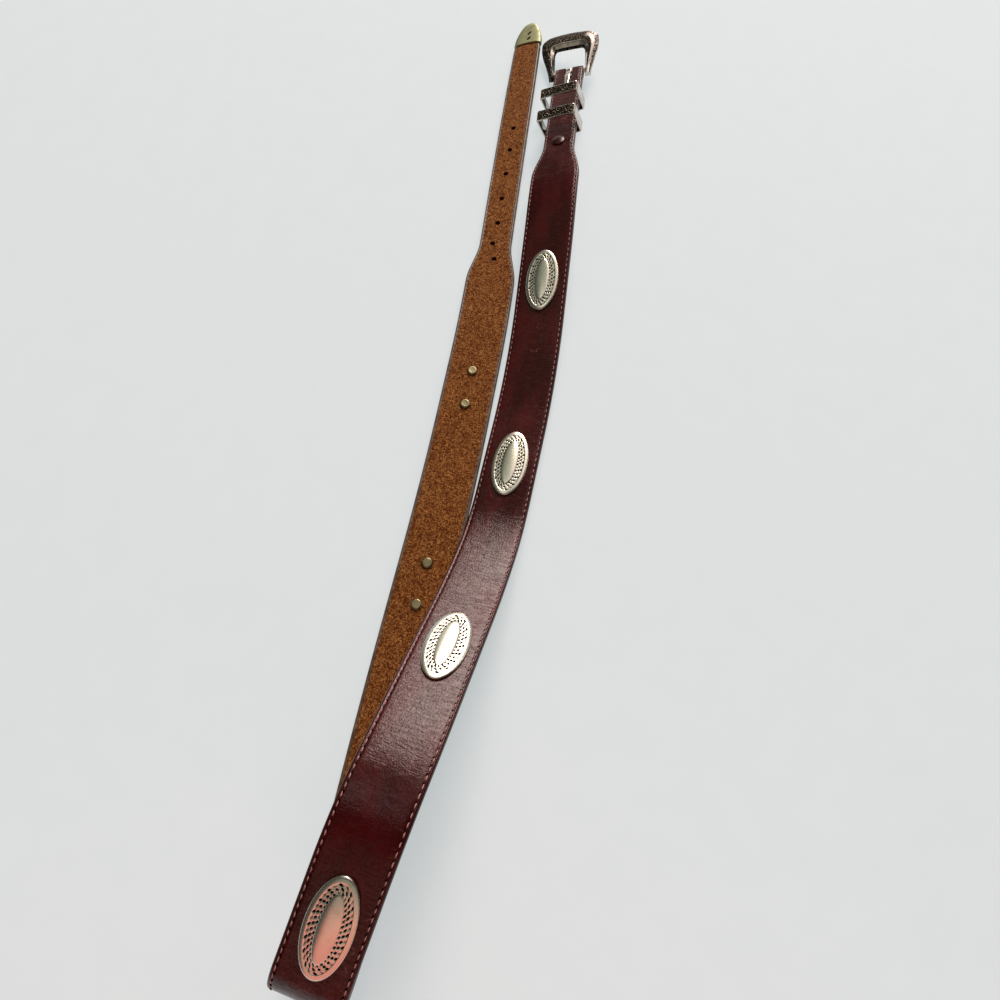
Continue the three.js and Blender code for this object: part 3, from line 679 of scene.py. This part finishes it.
stitchLook = {
    "seed": 4, "jitter": (0.9, 1.08), "fromTip": 33.0, "lineStep": 2.0,
    "thread": {"Pitch": 4.3, "Length": 2.9, "Thickness": 0.76},
    "hole": {"Pitch": 4.3, "Length": 1.9, "Thickness": 1.05},
    # piece, tree, material, size, end, height, inset from the edge, shift along, slot
    "rows": [
        ("faceStitches", "paleStitches", paleThread, "thread",
         barAt - 1, -0.02, 2.1, 0.0, "burgundy_leather"),
        ("suedeStitches", "brownStitches", brownThread, "thread",
         liningEnd - 2, liningOuter + 0.08, 2.1, 0.0, "brown_suede"),
        # dark beads over the needle holes: painted shadow
        ("needleHoleShades", "needleHoleShades", holeShade, "hole",
         barAt - 1, -0.2, 2.4, 2.15, "burgundy_leather"),
    ],
}


def stitchTree(name, material):
    tree = bpy.data.node_groups.new(name, "GeometryNodeTree")
    tree.interface.new_socket("Geometry", in_out="INPUT", socket_type="NodeSocketGeometry")
    for label in ("Pitch", "Length", "Thickness"):
        tree.interface.new_socket(label, in_out="INPUT", socket_type="NodeSocketFloat")
    tree.interface.new_socket("Seed", in_out="INPUT", socket_type="NodeSocketInt")
    tree.interface.new_socket("Geometry", in_out="OUTPUT", socket_type="NodeSocketGeometry")
    given = addNode(tree, "NodeGroupInput").outputs
    line = firstOutput(tree, "GeometryNodeMeshToCurve", {0: given["Geometry"]})
    spaced = firstOutput(tree, "GeometryNodeResampleCurve", {"Curve": line, "Length": given["Pitch"]},
                         mode="LENGTH")
    tangent = firstOutput(tree, "GeometryNodeInputTangent")
    align = firstOutput(tree, "FunctionNodeAlignRotationToVector", {"Vector": tangent}, axis="Z")
    bead = firstOutput(tree, "GeometryNodeMeshUVSphere", {"Segments": 8, "Rings": 6, "Radius": 0.5})
    least, most = stitchLook["jitter"]
    jitter = addNode(tree, "FunctionNodeRandomValue", {2: least, 3: most, "Seed": given["Seed"]})
    thick, longer = given["Thickness"], times(given["Length"], jitter.outputs[1])
    size = firstOutput(tree, "ShaderNodeCombineXYZ", {0: thick, 1: thick, 2: longer})
    stitches = firstOutput(tree, "GeometryNodeInstanceOnPoints", {
        "Points": spaced, "Instance": bead, "Rotation": align, "Scale": size})
    real = firstOutput(tree, "GeometryNodeRealizeInstances", {0: stitches})
    finished = firstOutput(tree, "GeometryNodeSetMaterial", {"Geometry": real, "Material": material})
    smooth = firstOutput(tree, "GeometryNodeSetShadeSmooth", {0: finished})
    addNode(tree, "NodeGroupOutput", {0: smooth})
    return tree


def growOnLines(name, lines, tree, values):
    # The tree's named inputs take the values
    points, edges = [], []
    for line in lines:
        edges.extend((len(points) + k, len(points) + k + 1) for k in range(len(line) - 1))
        points.extend(line)
    holder = addObject(name + "Line", newMesh(name + "Line", points, edges, []))
    modifier = holder.modifiers.new("grow", "NODES")
    modifier.node_group = tree
    for item in tree.interface.items_tree:
        if item.item_type == "SOCKET" and item.in_out == "INPUT" and item.name in values:
            modifier[item.identifier] = values[item.name]
    grown = evaluatedMesh(holder)
    bpy.data.objects.remove(holder)
    return addObject(name, grown)


def stitchPiece(name, treeName, material, size, toAt, out, inset, offset, slotName):
    stations = np.arange(stitchLook["fromTip"] + offset, toAt, stitchLook["lineStep"])
    lines = [[beside(placeAt(at), edge * (halfWidth(at) - inset * edgeScale(halfWidth(at))), out)
              for at in stations] for edge in (1, -1)]
    values = {label: value * mm for label, value in stitchLook[size].items()}
    values["Seed"] = stitchLook["seed"]
    settle(growOnLines(name, lines, stitchTree(treeName, material), values), "strap", slotName)


for stitchRow in stitchLook["rows"]:
    stitchPiece(*stitchRow)
print("stitches laid")


# Conchos: struck ovals with a plain rim, a band of punched dots and vines, and a smooth dome

concho = {
    "length": 49.0, "width": 24.5, "motifs": 16, "sides": 480, "ringsInBand": 21, "arcSteps": 2001,
    "motifMm": 5.5, "bandMm": 4.4, "slant": 0.13, "sunk": 0.05,
    # across the band, part of the motif, strength
    "pits": [(-1.65, 0.0, 1.0), (0.0, 0.0, 1.0), (1.65, 0.0, 1.0),
             (-1.65, 0.5, 0.5), (0.0, 0.5, 0.9), (1.65, 0.5, 0.4)],
    "pitDepth": 0.3, "pitRadius": 0.66, "pitDark": 1.6,
    "vineReach": 1.5, "vineWidth": 0.3, "vineStart": 0.13, "vineDepth": 0.02, "vineDark": 0.58,
    # shares of the half width and half length, and the height
    "rim": [(1.0, 1.0, 0.3), (1.0, 1.0, 1.05), (0.994, 0.997, 1.35), (0.98, 0.99, 1.58),
            (0.955, 0.977, 1.74), (0.915, 0.953, 1.89), (0.865, 0.922, 2.02), (0.82, 0.893, 2.1),
            (0.797, 0.877, 2.12)],
    "bandOuter": (0.785, 0.868, 2.06), "bandInner": (0.43, 0.678, 2.4),
    "dome": [(0.418, 0.667, 2.5), (0.39, 0.625, 2.64), (0.335, 0.53, 2.8), (0.25, 0.39, 2.98),
             (0.13, 0.2, 3.13)],
    "top": 3.18,
}


def conchoRelief(share, turn):
    # Height and patina inside the band: share runs across it, turn counts motifs
    across = (share - 0.5) * concho["bandMm"]
    phase = (turn - concho["slant"] * across) % 1.0
    dark = 0.0
    for centre, part, strength in concho["pits"]:
        along = ((phase - part + 0.5) % 1.0 - 0.5) * concho["motifMm"]
        spread = (along ** 2 + (across - centre) ** 2) / concho["pitRadius"] ** 2
        dark = max(dark, strength * math.exp(-spread ** 1.5))
    # two crossing vines, engraved lightly round the pits
    wave = concho["vineReach"] * math.cos(fullTurn * (phase + concho["vineStart"]))
    vine = max(math.exp(-((across + way * wave) / concho["vineWidth"]) ** 2) for way in (-1, 1))
    lift = -concho["sunk"] - concho["pitDepth"] * dark - concho["vineDepth"] * vine
    return lift, max(min(1.0, concho["pitDark"] * dark), concho["vineDark"] * vine)


def conchoRings():
    # Rows from the rim to the dome, each with its share of the band or none
    outer, inner = np.array(concho["bandOuter"]), np.array(concho["bandInner"])
    band = [(inner + (outer - inner) * share, share) for share in np.linspace(1, 0, concho["ringsInBand"])]
    return [(row, None) for row in concho["rim"]] + band + [(row, None) for row in concho["dome"]]


def makeConchoShape():
    rings, sides = conchoRings(), concho["sides"]
    halves = np.array([concho["width"], concho["length"]]) / 2
    # even steps of arc length round the oval, so that every motif has the same length
    fine = np.linspace(0, fullTurn, concho["arcSteps"])
    reach = (np.array(concho["bandOuter"]) + np.array(concho["bandInner"]))[:2] * halves
    arc = distancesAround(np.stack([np.cos(fine) * reach[0], np.sin(fine) * reach[1]], 1), False)
    angles = np.interp(np.linspace(0, arc[-1], sides + 1)[:-1], arc, fine)
    points, patina = [], []
    for (across, along, height), share in rings:
        for step, angle in enumerate(angles):
            turn = step / sides * concho["motifs"]
            lift, dark = (0.0, 0.0) if share is None else conchoRelief(share, turn)
            points.append((math.cos(angle) * across * halves[0], math.sin(angle) * along * halves[1],
                           height + lift))
            patina.append(dark)
    faces = [(start + s, start + (s + 1) % sides, start + sides + (s + 1) % sides, start + sides + s)
             for start in range(0, (len(rings) - 1) * sides, sides) for s in range(sides)]
    points += [(0, 0, concho["top"]), (0, 0, concho["rim"][0][2])]
    patina += [0.0, 0.0]
    last = (len(rings) - 1) * sides
    faces += [(last + s, last + (s + 1) % sides, len(points) - 2) for s in range(sides)]
    faces += [((s + 1) % sides, s, len(points) - 1) for s in range(sides)]
    return np.array(points), faces, patina


conchoPoints, conchoFaces, conchoPatina = makeConchoShape()


def makeConcho(number, centre):
    points = fromLocal(conchoPoints, placeAt(centre))
    mesh = newMesh(f"concho{number}", points, [], conchoFaces, conchoSilver)
    mesh.attributes.new("patina", "FLOAT", "POINT").data.foreach_set("value", conchoPatina)
    smoothMesh(mesh, sharpFrom=60)
    settle(addObject(f"concho{number}", mesh), "strap", "concho_metal", f"concho_{number}")


for number, centre in conchoCentres.items():
    makeConcho(number, centre)
print("conchos struck")


# Turned pieces: rivets and the snap

rivet = {
    "spacing": 28.0, "sides": 28,
    # radius, and height above the suede
    "head": [(0, -1.32), (2.3, -1.36), (2.75, -1.4), (3.1, -1.32), (3.5, -1.02), (3.74, -0.6), (3.8, -0.1),
             (3.6, 0.2), (1.9, 0.22)],
    "postEnd": [(1.9, 0), (0, 0)],
}
snap = {
    "along": 106.0, "across": -0.6, "capSides": 40, "studSides": 32,
    # radius, and height above the flap
    "post": [(0, 1.2), (1.6, 1.2)],
    "stud": [(0, -1.5), (2.2, -1.5), (2.6, -1.2), (3.6, -1.45), (4.3, -1.1), (4.6, -0.6), (4.5, -0.32),
             (1.3, -0.3), (1.3, 0.9), (0, 0.9)],
    # radius, and height above the smooth face
    "cap": [(1.6, 0.25), (5.2, 0.22), (5.6, 0.4), (5.55, 0.75), (5.2, 1.05), (4.6, 1.22), (3.0, 1.55),
            (1.5, 1.72), (0, 1.78)],
    "overFlap": 10.0,
}


def lathe(name, profile, here, material, sides, uvAround=20):
    # profile: radius, and height above the place
    ring = [[(radius * math.cos(a), radius * math.sin(a), height) for radius, height in profile]
            for a in np.linspace(0, fullTurn, sides, endpoint=False)]
    uv = uvGrid(np.linspace(0, uvAround, sides + 1), distancesAround(np.array(profile, float), False))
    return skin(name, fromLocal(ring, here), uv, [material], False, True, outward=True)


def lifted(profile, height):
    return [(radius, height + rise) for radius, rise in profile]


rivetProfile = lifted(rivet["head"], liningOuter - strap["seat"]) + rivet["postEnd"]


def makeRivet(number, centre, end, way):
    here = placeAt(centre + way * rivet["spacing"] / 2)
    piece = lathe(f"rivet{number}{end.capitalize()}", rivetProfile, here, rivetPlate, rivet["sides"])
    settle(piece, "strap", "rivet_metal", f"rivet_{number}_{end}_side")


for number, centre in conchoCentres.items():
    makeRivet(number, centre, "tip", -1)
    makeRivet(number, centre, "buckle", 1)

snapPlace = onBillet(snap["along"], snap["across"], 0)
flapOuter = float(np.dot(placeAt(strapEnd - snap["overFlap"]).point - billet.point, billet.out))
capProfile, studProfile = lifted(snap["post"], flapOuter) + snap["cap"], lifted(snap["stud"], flapOuter)
snapCap = lathe("snapCap", capProfile, snapPlace, capEnamel, snap["capSides"])
settle(snapCap, "strap", "snap_cover", "snap_cap")
snapStud = lathe("snapStud", studProfile, snapPlace, rivetPlate, snap["studSides"])
settle(snapStud, "strap", "rivet_metal", "snap_stud")
print("rivets and snap turned")


# Buckle

buckle = {
    "tilt": 22.0, "steps": 180, "barLength": 34.0, "barSides": 24,
    # outer across and along, inner across and along, to the middle of the free end
    "outline": [(18.8, -4.5, 13.9, -4.5), (19.9, 2, 13.9, 1), (22.4, 11, 13.9, 9),
                (25.0, 20, 13.8, 16.5), (25.9, 27.5, 13.4, 21), (24.8, 33.8, 12, 23.6),
                (19, 37.8, 8.8, 24.2), (9.5, 39.2, 4.4, 24.3), (0, 39.6, 0, 24.3)],
    # share from the outer edge to the opening, and height
    "section": [(1.0, -1.5), (1.0, 0.2), (0.985, 0.75), (0.94, 1.35), (0.85, 2.5), (0.78, 3.4),
                (0.755, 3.68), (0.735, 3.78), (0.71, 3.75), (0.62, 3.8), (0.52, 3.76), (0.46, 3.6),
                (0.36, 3.25), (0.3, 3.0), (0.22, 2.6), (0.15, 1.9), (0.09, 1.25), (0.05, 0.8),
                (0.02, 0.45), (0.0, 0.0), (0.0, -1.45), (0.03, -1.78), (0.97, -1.78)],
    # shares covered by the engraving, and on the rubbed side also a plain stripe; the rubbed side is painted
    # paler as lit, and the other side and the inner wall darker as painted shade
    "engraved": (0.02, 0.735), "stripe": (0.31, 0.54), "shadedWallFrom": 0.96, "shadedWallDownTo": -1.6,
    "rubbedLitRows": 68, "knobRows": 11,
}
shares, heights = (np.array(column) for column in zip(*buckle["section"]))


def buckleFinish(row, column):
    # 0 polished, 1 engraved and dark, and painted shade on the far side and the inner wall, 2 engraved and
    # rubbed, painted paler as the lit side
    middle = (shares[column] + shares[(column + 1) % len(shares)]) / 2
    low, high = buckle["engraved"]
    if row < buckle["knobRows"]:
        return 0
    # the inner wall round the opening: painted shade
    if heights[column] > buckle["shadedWallDownTo"] and middle > buckle["shadedWallFrom"]:
        return 1
    if heights[column] < 0 or not low < middle < high:
        return 0
    # rows past the rubbed side: painted shade
    if row > buckle["rubbedLitRows"] or middle > buckle["stripe"][1]:
        return 1
    return 0 if middle > buckle["stripe"][0] else 2


def makeBuckle():
    tilt = math.radians(buckle["tilt"])
    here = strapPlace(barPlace.point, billet.along * math.cos(tilt) + billet.out * math.sin(tilt),
                      billet.across, -billet.along * math.sin(tilt) + billet.out * math.cos(tilt))
    half = np.array(buckle["outline"])
    rows = np.vstack([half, half[-2::-1] * (-1, 1, -1, 1)])
    outer, inner = curveThrough(rows[:, :2], buckle["steps"]), curveThrough(rows[:, 2:], buckle["steps"])
    grid = np.zeros((buckle["steps"], len(shares), 3))
    grid[..., :2] = outer[:, None] + (inner - outer)[:, None] * shares[None, :, None]
    grid[..., 2] = heights
    across = np.linalg.norm(inner - outer, axis=1)[:, None] * np.append(shares, shares[0])
    uv = uvGrid(distancesAround((outer + inner) / 2, False), across)
    finishes = [polished, engraved, engravedRubbedLit]
    piece = skin("buckleFrame", fromLocal(grid, here), uv, finishes, slotOf=buckleFinish)
    bar = tube("bar", barPlace.point, billet.across, strap["barRadius"], buckle["barLength"],
               buckle["barSides"], polished)
    bar.data.uv_layers.new(name="UVMap")
    with bpy.context.temp_override(active_object=piece, selected_editable_objects=[piece, bar]):
        bpy.ops.object.join()
    settle(piece, "buckle", "buckle_metal", "buckle_frame")


# Tongue: a flat prong, looped round the bar and lying back on the strap

tongue = {
    "width": 4.4, "thickness": 1.25, "loop": 2.9, "loopFrom": -120.0, "loopTo": -300.0, "loopSteps": 24,
    "steps": 90, "sides": 20, "corners": (0.55, 0.55), "uvAround": 12,
    # share of the size that is lost, and share of the length where that begins
    "narrowing": (0.35, 0.5), "endThinning": (0.5, 0.93),
    # reach toward the shoulder, and rise from the bar's middle
    "arm": [(8.0, 4.55), (12.4, 5.3), (20.0, 5.35), (30.0, 5.35), (34.3, 5.5)],
}


def tongueLeft(key, share):
    lost, begin = tongue[key]
    return 1 - lost * smoothStep(share, begin, 1.0)


def makeTongue():
    turns = np.radians(np.linspace(tongue["loopFrom"], tongue["loopTo"], tongue["loopSteps"]))
    looped = [(tongue["loop"] * math.cos(a), tongue["loop"] * math.sin(a)) for a in turns]
    path = curveThrough(looped + tongue["arm"], tongue["steps"])
    pathAt = distancesAround(path, False)
    rows = []
    for k, (reach, rise) in enumerate(path):
        ahead = path[min(k + 1, len(path) - 1)] - path[max(k - 1, 0)]
        ahead /= np.linalg.norm(ahead)
        share = pathAt[k] / pathAt[-1]
        wide = tongue["width"] / 2 * tongueLeft("narrowing", share)
        thick = tongue["thickness"] / 2 * tongueLeft("endThinning", share)
        ring = roundedRing(wide, thick, *tongue["corners"], tongue["sides"])
        rows.append([(x, -(reach - ahead[1] * y), rise + ahead[0] * y) for x, y in ring])
    uv = uvGrid(pathAt, np.linspace(0, tongue["uvAround"], tongue["sides"] + 1))
    piece = skin("buckleTongue", fromLocal(rows, barPlace), uv, [polished], outward=True)
    settle(piece, "buckle_tongue", "buckle_metal", "tongue")


makeBuckle()
makeTongue()
print("buckle and tongue made")


# Keepers

keeper = {
    "width": 33.4, "height": 23.6, "band": 9.0, "wall": 1.5, "corner": 2.5, "crown": 0.02,
    "perCorner": 7, "perSide": 10, "topFrom": 0.7, "engravedColumns": (4, 7),
    # share of the band's half width, and share of the wall's height
    "profile": [(-1.0, 0.15), (-1.0, 0.6), (-0.965, 0.85), (-0.9, 0.97), (-0.83, 1.0), (-0.4, 1.06),
                (0.0, 1.08)],
    "inside": [(0.93, 0.0), (-0.93, 0.0)],
    # piece, node, body, along, across, up, lean, roll, yaw
    "seats": [
        ("keeperByBuckle", "keeper_near_buckle", "keeper_by_buckle", 47.0, -1.8, -0.4, 17.0, 8.5, -2.6),
        ("keeperBySnap", "keeper_near_snap", "keeper_by_snap", 78.7, -1.8, -0.4, 19.4, 8.0, -3.4),
    ],
}


def roundedLoop():
    # Points round the outside, and the direction outward at each
    halves = np.array([keeper["width"], keeper["height"]]) / 2 - keeper["corner"]
    centres = [halves * signs for signs in ((1, -1), (1, 1), (-1, 1), (-1, -1))]
    rows = []
    for index, centre in enumerate(centres):
        start, toNext = 90 * (index - 1), centres[(index + 1) % 4] - centre
        rows += [(centre, start + angle) for angle in np.linspace(0, 90, keeper["perCorner"])]
        rows += [(centre + toNext * (step / keeper["perSide"]), start + 90)
                 for step in range(1, keeper["perSide"])]
    angles = np.radians([angle for _, angle in rows])
    normals = np.stack([np.cos(angles), np.sin(angles)], 1)
    return np.array([centre for centre, _ in rows]) + normals * keeper["corner"], normals


loop, loopNormals = roundedLoop()
onTop = loopNormals[:, 1] > keeper["topFrom"]
mirrored = [(-share, lift) for share, lift in keeper["profile"][-2::-1]]
bandShares, bandLifts = np.array(keeper["profile"] + mirrored + keeper["inside"]).T


def keeperFinish(row, column):
    first, last = keeper["engravedColumns"]
    return 1 if first <= column <= last and onTop[row] and onTop[(row + 1) % len(onTop)] else 0


def keeperPlace(along, across, up, lean, roll, yaw):
    # lean about the bar's direction, yaw about the band's height, roll about the strap's direction
    def about(axis, angle):
        return np.array(Matrix.Rotation(math.radians(angle), 3, axis))
    base = np.stack([billet.across, billet.along, billet.out], 1)
    x, y, z = (base @ (about("X", lean) @ about("Z", yaw) @ about("Y", -roll))).T
    return strapPlace(onBillet(along, across, up).point, y, x, z)


def makeKeeper(name, node, body, along, *seat):
    # The wall's outer side is the loop, and its inner side lies one wall inside
    inward = np.where(bandLifts > 1, keeper["crown"], keeper["wall"] * (1 - bandLifts))
    flatPoints = loop[:, None] - loopNormals[:, None] * inward[:, None]
    bandAt = bandShares * keeper["band"] / 2
    points = np.insert(flatPoints, 1, -bandAt, axis=2)
    uv = uvGrid(distancesAround(loop, True) + along, np.append(bandAt, bandAt[0]))
    piece = skin(name, fromLocal(points, keeperPlace(along, *seat)), uv, [polished, engraved],
                 closedAlong=True, slotOf=keeperFinish, outward=True)
    settle(piece, body, "keeper_metal", node)


for seatRow in keeper["seats"]:
    makeKeeper(*seatRow)
print("keepers made")


# Metal tip: a pointed cap over the billet's end

tip = {
    "length": 30.0,
    # from the cap's mouth, and the half width there
    "outline": [(0, 12.7), (7, 12.2), (15, 10.5), (22.6, 7.2), (28.4, 3.1), (29.6, 1.3), (30, 0.0)],
    "bow": 1.6, "bowUntil": 12.0, "thick": 2.95, "endThick": 0.35, "thickFrom": 7.0,
    "steps": 48, "sides": 40, "corners": (0.5, 0.32), "levelAt": 0.7, "leastHalf": 0.02, "uvAround": 50,
    "slots": [(13.6, -0.8), (6.7, -0.9)], "slotTurn": 38.0, "slotSize": (2.1, 4.2, 2.4),
}


def makeTip():
    level = placeAt(tip["length"] * tip["levelAt"])
    mouth = placeAt(tip["length"]).point + level.out * (liningOuter / 2)
    here = strapPlace(mouth, -level.along, -level.across, level.out)
    outline = curveThrough(tip["outline"], tip["steps"])
    rows = []
    for along, half in outline:
        half = max(half, tip["leastHalf"])
        full = smoothStep(half, 0.0, tip["thickFrom"])
        thick = tip["thick"] * (tip["endThick"] + (1 - tip["endThick"]) * full)
        bow = tip["bow"] * (1 - smoothStep(along, 0, tip["bowUntil"]))
        rows.append([(x, along + bow * (1 - (x / half) ** 2), z)
                     for x, z in roundedRing(half, thick, *tip["corners"], tip["sides"])])
    uv = uvGrid(outline[:, 0], np.linspace(0, tip["uvAround"], tip["sides"] + 1))
    piece = skin("metalTip", fromLocal(rows, here), uv, [tipPlate], outward=True)
    c, s = math.cos(math.radians(tip["slotTurn"])), math.sin(math.radians(tip["slotTurn"]))
    for along, across in tip["slots"]:
        centre = fromLocal((across, along, -tip["thick"]), here)
        slotPlace = strapPlace(centre, here.along * c - here.across * s, here.across * c + here.along * s,
                               here.out)
        cutWith(piece, block("tipSlotCutter", slotPlace, tip["slotSize"], cutCore))
    settle(piece, "strap", "tip_metal", "metal_tip")


makeTip()
print("tip made")


# Floor, light and camera

studio = {
    "paper": ("a2a8ab", "a4aaad"), "glow": "f0fcff", "paperGlow": 0.493, "paperReach": 30000.0,
    "world": "a3a49a", "worldStrength": 0.2,
    # name, target's y, azimuth, elevation, distance, size, radiance, colour; sizes in metres
    "lamps": [
        ("farWindow", 0, 5, 33, 6.0, (2.24, 4.1), 13.3, "ffe7de"),
        ("farSill", 0, -4, 9, 6.0, (5.0, 1.0), 0.9, "f4fff2"),
        ("ceiling", 0, -38, 57, 2.2, (1.1, 1.0), 0.24, "dcf2c8"),
        ("skylight", 0, 26, 68, 2.2, (1.0, 0.9), 1.0, "fff0ea"),
        ("sideCard", 0, 42, 36, 1.9, (0.55, 0.85), 1.8, "ffeee6"),
        ("lowCard", 0, 72, 7, 1.9, (1.1, 0.34), 2.2, "ffeeea"),
        ("topCard", 0, -75, 75, 2.2, (0.78, 0.78), 1.2, "fff2ea"),
        ("roseCard", -0.3, 180, 25, 0.6, (0.7, 0.44), 0.9, "ff9184"),
        ("backFill", -0.3, 180, 52, 0.9, (0.9, 0.5), 0.36, "e6dcc6"),
    ],
}
shot = {
    "position": (45.816, -356.731, 425.986), "elevation": 1.20034, "azimuth": 0.11478, "roll": 0.01492,
    "focal": 23.99, "shift": (0.0055, 0.0044), "sensor": 36.0, "clipStart": 0.01,
}


def makeFloor():
    # Seamless paper, matt and evenly lit
    paper = makeMaterial("paleSeamlessPaper", mottled, studio["paper"], 40.0, 2.0, (0.3, 0.7), 0.95, 0.1)
    setInputs(paper.node_tree.nodes["Principled BSDF"], {
        "Emission Color": hexColour(studio["glow"]), "Emission Strength": studio["paperGlow"]})
    reach = studio["paperReach"]
    corners = [(-reach, -reach, 0), (reach, -reach, 0), (reach, reach, 0), (-reach, reach, 0)]
    addObject("floor", newMesh("floor", corners, [], [(0, 1, 2, 3)], paper))


def direction(azimuth, elevation):
    # The azimuth is measured from +Y toward +X
    level = math.cos(elevation)
    return Vector((math.sin(azimuth) * level, math.cos(azimuth) * level, math.sin(elevation)))


def areaLight(name, targetY, azimuth, elevation, distance, size, radiance, colour):
    data = bpy.data.lights.new(name, "AREA")
    data.shape = "RECTANGLE"
    data.size, data.size_y = size
    data.energy = radiance * math.pi * size[0] * size[1]
    data.color = hexColour(colour)[:3]
    offset = direction(math.radians(azimuth), math.radians(elevation)) * distance
    light = addObject(name, data)
    light.location = Vector((0, targetY, 0)) + offset
    light.rotation_euler = (-offset).to_track_quat("-Z", "Y").to_euler()


def makeWorld():
    world = bpy.data.worlds.new("studioAir")
    world.use_nodes = True
    setInputs(world.node_tree.nodes["Background"], {
        "Color": hexColour(studio["world"]), "Strength": studio["worldStrength"]})
    scene.world = world


def makeCamera():
    back, roll = direction(math.pi - shot["azimuth"], shot["elevation"]), shot["roll"]
    right = (-back).cross(Vector((0, 0, 1))).normalized()
    up = right.cross(-back)
    rolledRight = right * math.cos(roll) + up * math.sin(roll)
    rolledUp = -right * math.sin(roll) + up * math.cos(roll)
    data = bpy.data.cameras.new("camera")
    data.sensor_width = shot["sensor"]
    data.lens = shot["focal"]
    data.shift_x, data.shift_y = shot["shift"]
    data.clip_start = shot["clipStart"]
    position = (Vector(shot["position"]) + Vector(strap["shift"])) * mm
    camera = addObject("camera", data)
    turn = Matrix((rolledRight, rolledUp, back)).transposed().to_4x4()
    camera.matrix_world = Matrix.Translation(position) @ turn
    scene.camera = camera


makeFloor()
for lamp in studio["lamps"]:
    areaLight(*lamp)
makeWorld()
makeCamera()

bpy.context.view_layer.update()
print("scene ready")
